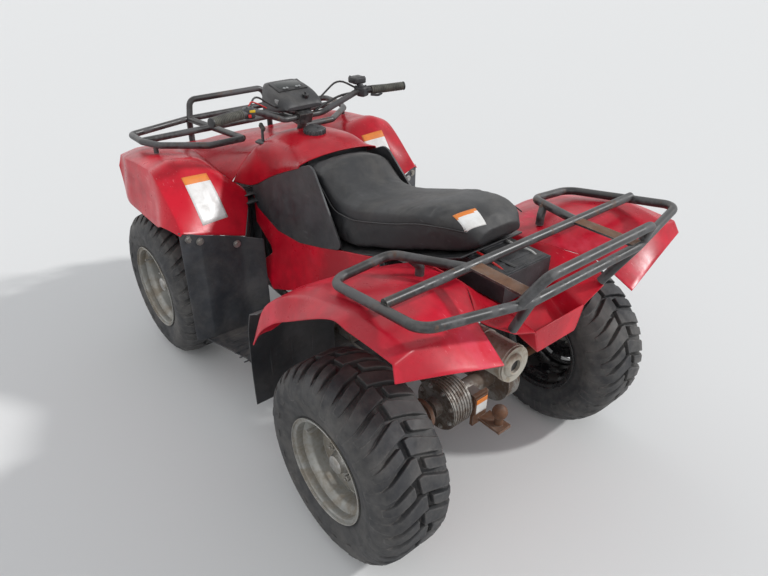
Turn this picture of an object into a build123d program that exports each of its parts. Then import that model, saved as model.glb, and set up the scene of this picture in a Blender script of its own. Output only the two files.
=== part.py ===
from build123d import *
import os
from math import cos, hypot, radians, sin, tan

# A four-wheeled utility quad with racks, in millimetres.
# X runs forward, Y to the left, Z up. The origin is on the ground under the middle of the machine.
# Places along the machine are written as distances ahead of the rear axle.

# Overall places
WHEELBASE = 1254.0
REAR_OVERHANG = 385.0
FRONT_OVERHANG = 436.0
LENGTH = REAR_OVERHANG + WHEELBASE + FRONT_OVERHANG
REAR_AXLE_X = REAR_OVERHANG - LENGTH / 2
FRONT_AXLE_X = REAR_AXLE_X + WHEELBASE

# Where the front axle is drawn. A wheelbase other than this one lengthens or shortens
# the machine between these two places, under the seat and the tank.
FRONT_AXLE = 1254.0
STRETCH_START = 430.0
STRETCH_END = 760.0

# Wheels
TYRE_RADIUS = 302.0
AXLE_Z = TYRE_RADIUS
LUGS_A_SIDE = 18
LUG_WIDTH = 31.0
LUG_SLANT = 20.0
LUG_DEPTH = 17.0
LUG_ROOT = 8.0
LUG_INNER_END = 6.0
TREAD_SHOULDER = 70.0
BEAD_SIDES = 16
REAR_TRACK = 916.6
FRONT_TRACK = 891.0
REAR_TYRE_WIDTH = 246.0
FRONT_TYRE_WIDTH = 203.0
REAR_RIM_RADIUS = 160.0
FRONT_RIM_RADIUS = 170.0
REAR_RIM_WIDTH = 225.0
FRONT_RIM_WIDTH = 190.0
RIM_LIP = 6.0
RIM_SEAT_DROP = 14.0
RIM_WELL_DROP = 34.0
RIM_WALL = 4.0
SEAT_CLEARANCE = 0.3
AXLE_SHAFT_RADIUS = 15.0
BORE_CLEARANCE = 0.05

# Steering
STEM_TILT = 22.0
STEM_BOTTOM = (1154.0, 0.0, 350.0)
STEM_RADIUS = 16.0
STEM_LENGTH = 672.0
STEERING_ARM = 80.0
PITMAN_PIN_SIDE = 30.0
KINGPIN_SIDE = 370.0
KINGPIN_RADIUS = 7.0
STEERING_ARM_Z = 335.0
STEERING_ARM_THICKNESS = 12.0
TIE_ROD_RADIUS = 8.0
ROD_END_RADIUS = 11.0
ROD_END_LENGTH = 24.0
ROD_END_RISE = 3.0
DROP_ARM_TOP = -2.0
DROP_ARM_THICKNESS = 10.0

# Sheet and tube sizes
PANEL_WALL = 4.0
RACK_TUBE = 25.0
RACK_BEND = 45.0
FRAME_TUBE = 32.0
SUBFRAME_TUBE = 26.0
BUMPER_TUBE = 25.0
BAR_TUBE = 22.0

os.makedirs("parts", exist_ok=True)


def ahead(distance):
    """X of a place drawn a distance ahead of the rear axle."""
    share = (distance - STRETCH_START) / (STRETCH_END - STRETCH_START)
    share = min(max(share, 0.0), 1.0)
    return REAR_AXLE_X + distance + share * (WHEELBASE - FRONT_AXLE)


def place(point):
    """A (distance ahead of the rear axle, side, height) place in the part's own frame."""
    along, side, height = point
    return (ahead(along), side, height)


def other_side(points):
    """The same places on the right-hand side."""
    return [(along, -side, height) for along, side, height in points]


def add_tube(points, diameter, bend, mode=Mode.ADD):
    """A round bar along straight runs joined by arcs, added to the piece being built."""
    if len(points) == 2:
        add_rod(points[0], points[1], diameter / 2, mode)
        return
    with BuildLine() as path:
        FilletPolyline(*[place(point) for point in points], radius=bend)
    with BuildSketch(Plane(origin=path.line @ 0, z_dir=path.line % 0)) as section:
        Circle(diameter / 2)
    sweep(section.sketch, path=path.line, mode=mode)


def add_rod(start, end, radius, mode=Mode.ADD):
    """A straight round bar between two places."""
    first = Vector(*place(start))
    last = Vector(*place(end))
    with BuildSketch(Plane(origin=first, z_dir=last - first)) as section:
        Circle(radius)
    extrude(section.sketch, amount=(last - first).length, mode=mode)


def add_block(low, high):
    """A block between two opposite corners."""
    near = place(low)
    far = place(high)
    size = [far[axis] - near[axis] for axis in range(3)]
    with Locations(near):
        Box(*size, align=(Align.MIN, Align.MIN, Align.MIN))


def walled(line, wall):
    """The closed outline of a strip: an open line, and the same line moved to its right."""
    moved = []
    for index, corner in enumerate(line):
        normals = []
        for start, end in ((index - 1, index), (index, index + 1)):
            if start < 0 or end >= len(line):
                continue
            run = (line[end][0] - line[start][0], line[end][1] - line[start][1])
            length = hypot(*run)
            normals.append((run[1] / length, -run[0] / length))
        total = (sum(normal[0] for normal in normals), sum(normal[1] for normal in normals))
        reach = 2 * wall / (total[0] ** 2 + total[1] ** 2) if len(normals) == 2 else wall
        moved.append((corner[0] + total[0] * reach, corner[1] + total[1] * reach))
    return list(line) + moved[::-1]


def add_shell(stations, wall):
    """A thin panel lofted through stations of (distance, skew, line of (side, height)).

    A station's plane is upright. Its skew is how far it runs ahead for each unit to the left.
    """
    sections = []
    for along, skew, line in stations:
        stretch = hypot(1, skew)
        plane = Plane(origin=(ahead(along), 0, 0), x_dir=(skew, 1, 0), z_dir=(1, -skew, 0))
        with BuildSketch(plane) as section:
            with BuildLine():
                Polyline(*walled([(side * stretch, height) for side, height in line], wall), close=True)
            make_face()
        sections.append(section.sketch)
    loft(sections, ruled=True)


def add_solid_sections(stations):
    """A solid lofted through upright stations of (distance, closed line of (side, height))."""
    sections = []
    for along, line in stations:
        with BuildSketch(Plane.YZ.offset(ahead(along))) as section:
            with BuildLine():
                Polyline(*line, close=True)
            make_face()
        sections.append(section.sketch)
    loft(sections, ruled=True)


def wheel_plane(axle_x, side):
    """A plane square to a wheel's axle."""
    return Plane(origin=(axle_x, side, AXLE_Z), x_dir=(1, 0, 0), z_dir=(0, 1, 0))


def add_disc(axle_x, side, thickness, radius):
    """A disc on a wheel's axle, from side towards the left by its thickness."""
    with BuildSketch(wheel_plane(axle_x, side)) as section:
        Circle(radius)
    extrude(section.sketch, amount=thickness)


def finish(piece, name):
    """Labels a finished piece and writes its file."""
    piece.part.label = name
    export_step(piece.part, "parts/" + name + ".step")


# Frame
LOWER_RAIL_SIDE = 95.0
LOWER_RAIL_Z = 225.0
UPPER_RAIL_SIDE = 62.0
SUBFRAME_SIDE = 110.0
SUBFRAME_Z = 690.0
FRAME_BEND = 60.0
ARM_RAIL_Z = 238.0
UPPER_ARM_RAIL_Z = 400.0

# name, points of the left-hand tube, diameter
FRAME_TUBES = (
    ("lower rail", [(215, LOWER_RAIL_SIDE, 430), (235, LOWER_RAIL_SIDE, LOWER_RAIL_Z),
                    (940, LOWER_RAIL_SIDE, LOWER_RAIL_Z), (1130, LOWER_RAIL_SIDE, ARM_RAIL_Z),
                    (1370, LOWER_RAIL_SIDE, ARM_RAIL_Z), (1440, LOWER_RAIL_SIDE, 430)], FRAME_TUBE),
    ("rear upright", [(215, LOWER_RAIL_SIDE, 415), (330, SUBFRAME_SIDE, SUBFRAME_Z)], SUBFRAME_TUBE),
    ("seat rail", [(470, SUBFRAME_SIDE, 640), (330, SUBFRAME_SIDE, SUBFRAME_Z),
                   (-95, SUBFRAME_SIDE, SUBFRAME_Z + 26.5)], SUBFRAME_TUBE),
    ("backbone", [(470, SUBFRAME_SIDE, 640), (700, UPPER_RAIL_SIDE, 700), (1040, UPPER_RAIL_SIDE, 730),
                  (1270, UPPER_RAIL_SIDE, 640), (1440, LOWER_RAIL_SIDE, 430)], FRAME_TUBE),
    ("front upright", [(1150, LOWER_RAIL_SIDE, 238), (1215, UPPER_RAIL_SIDE, 664)], SUBFRAME_TUBE),
    ("upper arm rail", [(1168, LOWER_RAIL_SIDE, UPPER_ARM_RAIL_Z),
                        (1429, LOWER_RAIL_SIDE, UPPER_ARM_RAIL_Z)], SUBFRAME_TUBE),
)
# distance, half width, height
FRAME_CROSS_TUBES = (
    (250, LOWER_RAIL_SIDE, LOWER_RAIL_Z),
    (920, LOWER_RAIL_SIDE, LOWER_RAIL_Z),
    (330, SUBFRAME_SIDE, SUBFRAME_Z),
    (-90, SUBFRAME_SIDE, SUBFRAME_Z + 26.2),
    (170, SUBFRAME_SIDE, SUBFRAME_Z + 10.0),
    (FRONT_AXLE, LOWER_RAIL_SIDE, 226.7),
    (700, UPPER_RAIL_SIDE, 700),
    (1435, LOWER_RAIL_SIDE, 430),
)
# names of the places that hold the stem, as distances up its axis
STEM_HOLDERS = (30.0, 480.0)
STEM_HOLDER_RADIUS = 27.0
STEM_HOLDER_LENGTH = 34.0

stem_axis = Vector(-sin(radians(STEM_TILT)), 0, cos(radians(STEM_TILT)))
stem_foot = Vector(*place(STEM_BOTTOM))


def stem_plane(distance):
    """A plane square to the steering stem, a distance up from its foot."""
    return Plane(origin=stem_foot + stem_axis * distance, x_dir=(0, 1, 0), z_dir=stem_axis)


with BuildPart() as frame:
    for name, points, diameter in FRAME_TUBES:
        add_tube(points, diameter, FRAME_BEND)
        add_tube(other_side(points), diameter, FRAME_BEND)
    for along, half_width, height in FRAME_CROSS_TUBES:
        add_rod((along, -half_width, height), (along, half_width, height), SUBFRAME_TUBE / 2)
    for distance in STEM_HOLDERS:
        with BuildSketch(stem_plane(distance)):
            Circle(STEM_HOLDER_RADIUS)
            with Locations((LOWER_RAIL_SIDE / 2, 0), (-LOWER_RAIL_SIDE / 2, 0)):
                Rectangle(LOWER_RAIL_SIDE, STEM_HOLDER_LENGTH)
        extrude(amount=STEM_HOLDER_LENGTH / 2, both=True)
        with BuildSketch(stem_plane(distance)):
            Circle(STEM_RADIUS + BORE_CLEARANCE)
        extrude(amount=STEM_HOLDER_LENGTH, both=True, mode=Mode.SUBTRACT)
finish(frame, "frame")

# Skid plate
SKID_THICKNESS = 4.0
SKID_TOP = LOWER_RAIL_Z - FRAME_TUBE / 2
with BuildPart() as skid_plate:
    add_block((240, -LOWER_RAIL_SIDE, SKID_TOP - SKID_THICKNESS), (930, LOWER_RAIL_SIDE, SKID_TOP))
finish(skid_plate, "skid_plate")

# Engine
ENGINE_HALF_WIDTH = 96.0
ENGINE_FLOOR = 241.3
with BuildPart() as engine:
    add_block((500, -ENGINE_HALF_WIDTH, ENGINE_FLOOR), (900, ENGINE_HALF_WIDTH, 440))
    add_block((690, -65, 440), (850, 65, 630))
    for side, length in ((ENGINE_HALF_WIDTH, 55), (-ENGINE_HALF_WIDTH - 60, 60)):
        with BuildSketch(Plane(origin=(ahead(640), side, 340), x_dir=(1, 0, 0), z_dir=(0, 1, 0))):
            Circle(88)
            with Locations((110, 0)):
                Circle(72)
        extrude(amount=length)
finish(engine, "engine")

# Swingarm with the rear axle housing and the final gear case
SWINGARM_PIVOT = (225.0, 330.0)
SWINGARM_HALF_WIDTH = 78.7
HOUSING_RADIUS = 32.0
GEAR_CASE_RADIUS = 82.0
GEAR_CASE_SIDE = (62.0, 142.0)
HOUSING_SIDES = (-98.0, 168.0)
with BuildPart() as swingarm:
    add_disc(REAR_AXLE_X, HOUSING_SIDES[0], HOUSING_SIDES[1] - HOUSING_SIDES[0], HOUSING_RADIUS)
    add_disc(REAR_AXLE_X, GEAR_CASE_SIDE[0], GEAR_CASE_SIDE[1] - GEAR_CASE_SIDE[0], GEAR_CASE_RADIUS)
    add_rod((40, 100, 310), (SWINGARM_PIVOT[0], 50, SWINGARM_PIVOT[1]), 24)
    add_rod((0, -70, 302), (SWINGARM_PIVOT[0], -50, SWINGARM_PIVOT[1]), 20)
    add_rod((SWINGARM_PIVOT[0], -SWINGARM_HALF_WIDTH, SWINGARM_PIVOT[1]),
            (SWINGARM_PIVOT[0], SWINGARM_HALF_WIDTH, SWINGARM_PIVOT[1]), 24)
    add_block((-70, 6, 270), (-28, 46, 334))
    with BuildSketch(wheel_plane(REAR_AXLE_X, HOUSING_SIDES[0])):
        Circle(AXLE_SHAFT_RADIUS + BORE_CLEARANCE)
    extrude(amount=HOUSING_SIDES[1] - HOUSING_SIDES[0], mode=Mode.SUBTRACT)
finish(swingarm, "swingarm")

# Rear brake cover on the right of the axle housing
BRAKE_RADIUS = 92.0
with BuildPart() as rear_brake_cover:
    add_disc(REAR_AXLE_X, -150, 52, BRAKE_RADIUS)
    with BuildSketch(wheel_plane(REAR_AXLE_X, -151)):
        Circle(AXLE_SHAFT_RADIUS + BORE_CLEARANCE)
    extrude(amount=60, mode=Mode.SUBTRACT)
finish(rear_brake_cover, "rear_brake_cover")

# Tow hitch
TOW_BALL_RADIUS = 25.0
TOW_BALL = (-141.0, 0.0, 294.0)
with BuildPart() as tow_hitch:
    add_block((-82, -6, 225), (-70, 56, 345))
    add_block((-170, -26, 236), (-82, 30, 246))
    add_rod((TOW_BALL[0], 0, 246), (TOW_BALL[0], 0, TOW_BALL[2]), 14)
    with Locations(place(TOW_BALL)):
        Sphere(TOW_BALL_RADIUS)
finish(tow_hitch, "tow_hitch")

# Exhaust
MUFFLER_RADIUS = 56.0
with BuildPart() as exhaust:
    add_rod((-200, 40, 536), (150, 40, 520), MUFFLER_RADIUS)
    add_tube([(150, 40, 520), (260, 40, 515), (420, 0, 560), (690, 0, 560)], 40, 60)
finish(exhaust, "exhaust")

# Front differential with its shafts
with BuildPart() as front_differential:
    with BuildSketch(wheel_plane(FRONT_AXLE_X, -60)):
        Circle(62)
    extrude(amount=120)
    add_rod((1010, 0, 262), (1195, 0, 285), 18)
    for side in (1, -1):
        add_rod((FRONT_AXLE, side * 60, AXLE_Z), (FRONT_AXLE, side * 95, AXLE_Z), 26)
        add_rod((FRONT_AXLE, side * 95, AXLE_Z), (FRONT_AXLE, side * 290, AXLE_Z), 12)
        add_rod((FRONT_AXLE, side * 290, AXLE_Z), (FRONT_AXLE, side * 330, AXLE_Z), 32)
finish(front_differential, "front_differential")

# Front suspension arms: height of the ball end, inner pivot side and height, spread of the pivots
ARM_ROWS = (
    ("lower", 222.0, 125.3, ARM_RAIL_Z, 95.0),
    ("upper", 382.0, 122.3, UPPER_ARM_RAIL_Z, 70.0),
)
ARM_TUBE = 22.0
ARM_EYE_RADIUS = 17.0
ARM_EYE_HEIGHT = 16.0
with BuildPart() as suspension_arms:
    for name, ball_z, pivot_side, pivot_z, spread in ARM_ROWS:
        for hand in (1, -1):
            for direction in (1, -1):
                add_rod((FRONT_AXLE + direction * spread, hand * pivot_side, pivot_z),
                        (FRONT_AXLE, hand * (KINGPIN_SIDE - 20), ball_z), ARM_TUBE / 2)
                add_rod((FRONT_AXLE + direction * (spread + 22), hand * pivot_side, pivot_z),
                        (FRONT_AXLE + direction * (spread - 22), hand * pivot_side, pivot_z), ARM_TUBE / 2 + 3)
            add_rod((FRONT_AXLE - 18, hand * 282, ball_z + 5), (FRONT_AXLE + 18, hand * 282, ball_z + 5), 9)
            add_rod((FRONT_AXLE, hand * KINGPIN_SIDE, ball_z - ARM_EYE_HEIGHT / 2),
                    (FRONT_AXLE, hand * KINGPIN_SIDE, ball_z + ARM_EYE_HEIGHT / 2), ARM_EYE_RADIUS)
            with BuildSketch(Plane(origin=place((FRONT_AXLE, hand * KINGPIN_SIDE, ball_z - ARM_EYE_HEIGHT)))):
                Circle(KINGPIN_RADIUS + BORE_CLEARANCE)
            extrude(amount=2 * ARM_EYE_HEIGHT, mode=Mode.SUBTRACT)
finish(suspension_arms, "suspension_arms")

# Shock absorbers: foot, head
SHOCK_ROWS = (
    ((FRONT_AXLE, 282, 399), (FRONT_AXLE - 14, 88, 652)),
    ((FRONT_AXLE, -282, 399), (FRONT_AXLE - 14, -88, 652)),
    ((80, -66, 338), (170, -78, 683.3)),
)
SPRING_RADIUS = 30.0
DAMPER_RADIUS = 14.0
with BuildPart() as shock_absorbers:
    for foot, head in SHOCK_ROWS:
        add_rod(foot, head, DAMPER_RADIUS)
        low = tuple(foot[axis] + (head[axis] - foot[axis]) * 0.3 for axis in range(3))
        high = tuple(foot[axis] + (head[axis] - foot[axis]) * 0.88 for axis in range(3))
        add_rod(low, high, SPRING_RADIUS)
finish(shock_absorbers, "shock_absorbers")

# Front bumper
with BuildPart() as front_bumper:
    hoop = [(1467.8, 150, 424), (1600, 175, 420), (1665, 190, 560), (1640, 190, 700), (1495, 190, 745)]
    add_tube(hoop, BUMPER_TUBE, 40)
    add_tube(other_side(hoop), BUMPER_TUBE, 40)
    for along, half_width, height in ((1467.8, 150, 424), (1677.5, 190, 560), (1640, 190, 700)):
        add_rod((along, -half_width, height), (along, half_width, height), BUMPER_TUBE / 2)
finish(front_bumper, "front_bumper")

# Rear rack
# the outer loop from the front inner bend, round the left side, to the middle of the rear tube
REAR_RACK_FRONT = [(-148, 218, 889), (53, 291, 868), (63, 476, 848), (-293, 500, 905), (-344, 216, 885)]
with BuildPart() as rear_rack:
    add_tube(REAR_RACK_FRONT + other_side(REAR_RACK_FRONT[::-1]), RACK_TUBE, RACK_BEND)
    add_rod((-155, -484, 894), (-155, 484, 894), RACK_TUBE / 2)
    rear_hoop = [(-338, 250, 887.4), (RACK_TUBE / 2 - REAR_OVERHANG, 208, 959)]
    add_tube(rear_hoop + other_side(rear_hoop[::-1]), RACK_TUBE, 30)
    for hand in (1, -1):
        add_block((-345, hand * 206 - 20, 893), (-148, hand * 206 + 20, 899))
        add_rod((-344, hand * 216, 885), (-281.3, hand * 182.3, 765.1), RACK_TUBE / 2)
        add_tube([(0, hand * 272, 873), (-12, hand * 246, 846), (-12, hand * 246, 818.8)], RACK_TUBE, 16)
finish(rear_rack, "rear_rack")

# Front rack
FRONT_RACK_Z = 882.0
FRONT_RACK_LOOP = [(1113, 278, FRONT_RACK_Z), (1228, 423, FRONT_RACK_Z), (1310, 457, FRONT_RACK_Z),
                   (1420, 459, FRONT_RACK_Z), (1490, 200, FRONT_RACK_Z)]
with BuildPart() as front_rack:
    loop = [(1113, 140, FRONT_RACK_Z)] + FRONT_RACK_LOOP
    add_tube(loop + other_side(loop[:0:-1]) + [(1113, -140, FRONT_RACK_Z)], RACK_TUBE, 22)
    add_rod((1320, -457, FRONT_RACK_Z), (1320, 457, FRONT_RACK_Z), RACK_TUBE / 2)
    front_hoop = [(1480, 190, FRONT_RACK_Z), (1500, 170, 955)]
    add_tube(front_hoop + other_side(front_hoop[::-1]), RACK_TUBE, 30)
    for hand in (1, -1):
        add_tube([(1113, hand * 140, FRONT_RACK_Z), (1480, hand * 190, FRONT_RACK_Z)], RACK_TUBE, 0)
        add_rod((1250, hand * 432, FRONT_RACK_Z), (1250, hand * 432, 850.5), 9)
        add_rod((1486, hand * 190, FRONT_RACK_Z), (1486, hand * 190, 757.8), RACK_TUBE / 2)
finish(front_rack, "front_rack")

# Front body: two fenders and the hood between them
# distance, then (side, height) of the inner edge, crown, outer crown, shoulder and lip
FRONT_FENDER_ROWS = (
    (862, (300, 612), (380, 640), (470, 668), (530, 690), (541, 683)),
    (920, (250, 678), (345, 720), (462, 742), (530, 742), (552, 686)),
    (985, (215, 730), (318, 790), (446, 822), (532, 796), (562, 682)),
    (1048, (240, 752), (330, 846), (455, 874), (530, 842), (545, 648)),
    (1100, (250, 768), (335, 856), (455, 874), (525, 846), (543, 645)),
    (1152, (256, 785), (340, 848), (450, 860), (520, 840), (541, 642)),
    (1278, (262, 806), (350, 840), (462, 848), (520, 830), (540, 643)),
    (1362, (265, 814), (358, 834), (450, 840), (520, 820), (540, 648)),
    (1460, (270, 800), (350, 815), (440, 818), (496, 798), (512, 669)),
    (1503, (280, 788), (350, 800), (430, 802), (490, 788), (505, 745)),
)
# distance, height at the middle, at 150 and at the fender's edge
HOOD_ROWS = (
    (1048, 872, 846, (240, 752)),
    (1100, 856, 836, (250, 768)),
    (1152, 840, 828, (256, 785)),
    (1278, 826, 817, (262, 806)),
    (1362, 817, 809, (265, 814)),
    (1460, 800, 795, (270, 800)),
)
HOOD_SHOULDER = 150.0
SEAM = 1.0
with BuildPart() as front_body:
    add_shell([(row[0], 0, list(row[1:])) for row in FRONT_FENDER_ROWS], PANEL_WALL)
    mirror(about=Plane.XZ)
    hood = []
    for along, middle, shoulder, (edge_side, edge_z) in HOOD_ROWS:
        line = [(-edge_side - SEAM, edge_z), (-HOOD_SHOULDER, shoulder), (0, middle)]
        hood.append((along, 0, line + [(-side, height) for side, height in line[-2::-1]]))
    add_shell(hood, PANEL_WALL)
finish(front_body, "front_body")

FUEL_CAP_X = 826.0
FUEL_CAP_RADIUS = 42.0
FUEL_CAP_FOOT = 938.0
FUEL_CAP_HEIGHT = 34.0

# Tank cover: distance, height at the middle, then (side, height) of the shoulder, flank and lower edge
TANK_COVER_ROWS = (
    (680.4, 920, (118, 912), (163.5, 904), (169.4, 892)),
    (760, 944, (135, 930), (170.5, 880), (174.5, 858)),
    (870, 950, (150, 920), (178.6, 828), (182.3, 806)),
    (975, 930, (160, 900), (190, 784), (196, 744)),
    (1047.6, 874, (150, 848), (206, 790), (235, 750)),
)
with BuildPart() as tank_cover:
    cover = []
    for along, middle, *half in TANK_COVER_ROWS:
        line = [(-side, height) for side, height in reversed(half)]
        cover.append((along, 0, line + [(0, middle)] + list(half)))
    add_shell(cover, PANEL_WALL)
    with BuildSketch(stem_plane(STEM_LENGTH)):
        Circle(STEM_RADIUS + 15)
    extrude(amount=-120, mode=Mode.SUBTRACT)
    with BuildSketch(Plane(origin=place((FUEL_CAP_X, 0, FUEL_CAP_FOOT - 20)))):
        Circle(FUEL_CAP_RADIUS + SEAT_CLEARANCE)
    extrude(amount=60, mode=Mode.SUBTRACT)
finish(tank_cover, "tank_cover")

# Fuel cap
with BuildPart() as fuel_cap:
    with BuildSketch(Plane(origin=place((FUEL_CAP_X, 0, FUEL_CAP_FOOT)))):
        Circle(FUEL_CAP_RADIUS)
    extrude(amount=FUEL_CAP_HEIGHT)
finish(fuel_cap, "fuel_cap")

# Knee panels and side panels: corners as (distance, height) on a plane that leans in towards the top
PANEL_LEAN = 8.5
PANEL_FOOT = (200.0, 654.0)
KNEE_CORNERS = [(1000, 744), (808, 838), (612, 924), (405, 701), (520, 668), (647, 638), (789, 632), (940, 672)]
SIDE_CORNERS = [(978, 716.8), (940, 671.5), (789, 631.5), (647, 637.5), (520, 667.5), (405, 700.5), (303, 726),
                (226, 748), (226, 700), (300, 650), (400, 580), (560, 500), (700, 430), (805, 390), (880, 448),
                (886, 476), (819, 536), (838, 558), (945, 614)]


def add_side_panel(corners, thickness):
    """A flat panel on the side plane, from corners of (distance, height)."""
    lean = radians(PANEL_LEAN)
    outside = Plane(origin=(0, PANEL_FOOT[0], PANEL_FOOT[1]), x_dir=(1, 0, 0), z_dir=(0, -cos(lean), -sin(lean)))
    with BuildSketch(outside) as section:
        with BuildLine():
            Polyline(*[(ahead(along), (height - PANEL_FOOT[1]) / cos(lean)) for along, height in corners],
                     close=True)
        make_face()
    extrude(section.sketch, amount=thickness)


with BuildPart() as knee_panels:
    add_side_panel(KNEE_CORNERS, 12)
    mirror(about=Plane.XZ)
finish(knee_panels, "knee_panels")

with BuildPart() as side_panels:
    add_side_panel(SIDE_CORNERS, 8)
    mirror(about=Plane.XZ)
finish(side_panels, "side_panels")

# Seat: distance, half width and height of the base, half width and height of the top edge, height at middle
SEAT_ROWS = (
    (680, 120, 880, 128, 905, 918),
    (600, 150, 800, 150, 905, 915),
    (500, 165, 700, 150, 835, 850),
    (400, 168, 700, 152, 838, 848),
    (300, 165, 735, 156, 865, 872),
    (200, 158, 765, 154, 895, 903),
    (109, 148, 800, 144, 925, 932),
    (11, 132, 832, 130, 938, 945),
    (-42, 112, 850, 108, 932, 938),
    (-70, 88, 872, 80, 908, 914),
)
with BuildPart() as seat:
    sections = []
    for along, base, base_z, top, top_z, middle_z in SEAT_ROWS:
        outline = [(-base, base_z), (base, base_z), (top, top_z), (0, middle_z), (-top, top_z)]
        sections.append((along, outline))
    add_solid_sections(sections)
finish(seat, "seat")

# Rear fenders
# distance at the middle, skew, then (side, height) of the inner edge, deck, crease, shoulder and lip
REAR_FENDER_ROWS = (
    (352, 0, (500, 560), (520, 562), (540, 560), (558, 550), (566, 532)),
    (320, 0, (340, 642), (430, 648), (500, 650), (550, 640), (566, 578)),
    (282, 0, (240, 690), (370, 702), (480, 708), (545, 700), (567, 624)),
    (202, 0, (200, 735), (330, 760), (460, 772), (540, 762), (567, 690)),
    (130, 0, (178, 770), (330, 798), (470, 806), (530, 795), (566, 732)),
    (71, 0, (172, 790), (330, 815), (480, 822), (525, 815), (565, 768)),
    (-61, 0, (172, 805), (300, 838), (470, 850), (528, 852), (565, 843)),
    (-118, 0, (180, 807), (300, 840), (470, 853), (528, 855), (565, 841)),
    (-191, -0.147, (250, 783), (320, 806), (430, 831), (500, 843), (557, 835)),
    (-373, 0.144, (267, 727), (330, 742), (420, 765), (500, 784), (566, 799)),
)
with BuildPart() as rear_fender_left:
    add_shell([(row[0], row[1], list(row[2:])) for row in REAR_FENDER_ROWS], PANEL_WALL)
finish(rear_fender_left, "rear_fender_left")

with BuildPart() as rear_fender_right:
    mirror(rear_fender_left.part, about=Plane.XZ)
finish(rear_fender_right, "rear_fender_right")

# Tail section: an open trough between the fenders, closed at its rear
# distance, (side, height) of the rim, of the wall's foot and of the floor's edge
TAIL_ROWS = (
    (120, (160, 800), (140, 775), (120, 748)),
    (-60, (168.8, 806.3), (125, 765), (105, 740)),
    (-118, (176.8, 808.3), (118, 760), (100, 728)),
    (-180, (216.3, 794.8), (110, 752), (95, 705)),
    (-228, (246.8, 784.3), (106, 742), (88, 680)),
    (-292, (183, 757), (101, 725), (78, 653)),
)
with BuildPart() as tail_section:
    trough = []
    for along, *half in TAIL_ROWS:
        line = [(-side, height) for side, height in half]
        trough.append((along, 0, line + half[::-1]))
    add_shell(trough, PANEL_WALL)
    last_row, rim, wall_foot, floor_edge = TAIL_ROWS[-1]
    with BuildSketch(Plane.YZ.offset(ahead(last_row))):
        with BuildLine():
            Polyline((-wall_foot[0], wall_foot[1]), (-floor_edge[0], floor_edge[1] - PANEL_WALL),
                     (floor_edge[0], floor_edge[1] - PANEL_WALL), wall_foot, close=True)
        make_face()
    extrude(amount=PANEL_WALL)
finish(tail_section, "tail_section")

# Battery box behind the seat
BATTERY_TRAY = (-172.0, 0.0)
BATTERY_HALF_WIDTH = 92.0
BATTERY_FLOOR = 743.2
BATTERY_TOP = 828.0
with BuildPart() as battery_box:
    add_block((BATTERY_TRAY[0], -BATTERY_HALF_WIDTH, BATTERY_FLOOR), (BATTERY_TRAY[1], BATTERY_HALF_WIDTH, BATTERY_TOP))
finish(battery_box, "battery_box")

# Splash guards ahead of the rear wheels: (distance, height) down the guard
SPLASH_LINE = [(340, 640), (395, 610), (418, 540), (428, 400), (421, 244.4)]
with BuildPart() as splash_guards:
    with BuildSketch(Plane.XZ.offset(-545)):
        with BuildLine():
            Polyline(*walled([(ahead(along), height) for along, height in SPLASH_LINE], PANEL_WALL), close=True)
        make_face()
    extrude(amount=318)
    mirror(about=Plane.XZ)
finish(splash_guards, "splash_guards")

# Mudguards behind the front wheels: (distance, side) along the guard, seen from above
MUDGUARD_LINE = [(870, 541), (850, 475), (846, 330), (815, 252)]
MUDGUARD_FOOT = 244.3
# the liner between the frame and the wheel's arch: two opposite corners
INNER_LINER = ((1006, 78.4, 400), (1010, 214, 728))
with BuildPart() as mudguards:
    with BuildSketch(Plane.XY.offset(MUDGUARD_FOOT)):
        with BuildLine():
            Polyline(*walled([(ahead(along), side) for along, side in MUDGUARD_LINE], PANEL_WALL), close=True)
        make_face()
    extrude(amount=500)
    slope = Vector(0, 541 - 319, 690 - 598).normalized()
    top = Plane(origin=place((850, 319, 586)), x_dir=(1, 0, 0), z_dir=Vector(1, 0, 0).cross(slope))
    split(bisect_by=top, keep=Keep.BOTTOM)
    add_block(*INNER_LINER)
    mirror(about=Plane.XZ)
finish(mudguards, "mudguards")

# Footwells with their pegs
FLOOR_Z = 240.0
FLOOR_CORNERS = [(862, 505), (862, 101.3), (412, 101.3), (412, 450), (660, 450)]
with BuildPart() as footwells:
    with BuildSketch(Plane.XY.offset(FLOOR_Z)):
        with BuildLine():
            Polyline(*[(ahead(along), side) for along, side in FLOOR_CORNERS], close=True)
        make_face()
    extrude(amount=PANEL_WALL)
    add_block((590, 160, 285), (640, 425, 305))
    add_block((600, 165, 244), (630, 195, 285))
    mirror(about=Plane.XZ)
finish(footwells, "footwells")

# Headlights
with BuildPart() as headlights:
    for hand in (1, -1):
        add_block((1440, hand * 289 - 86, 690), (1500, hand * 289 + 86, 770))
finish(headlights, "headlights")

# Steering stem with its drop arm
with BuildPart() as steering_stem:
    with BuildSketch(stem_plane(DROP_ARM_TOP - DROP_ARM_THICKNESS)):
        Circle(STEM_RADIUS)
    extrude(amount=STEM_LENGTH - DROP_ARM_TOP + DROP_ARM_THICKNESS)
    with BuildSketch(stem_plane(DROP_ARM_TOP - DROP_ARM_THICKNESS)):
        with BuildLine():
            Polyline((-42, 92), (42, 92), (42, 66), (22, -20), (-22, -20), (-42, 66), close=True)
        make_face()
    extrude(amount=DROP_ARM_THICKNESS)
finish(steering_stem, "steering_stem")

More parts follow.
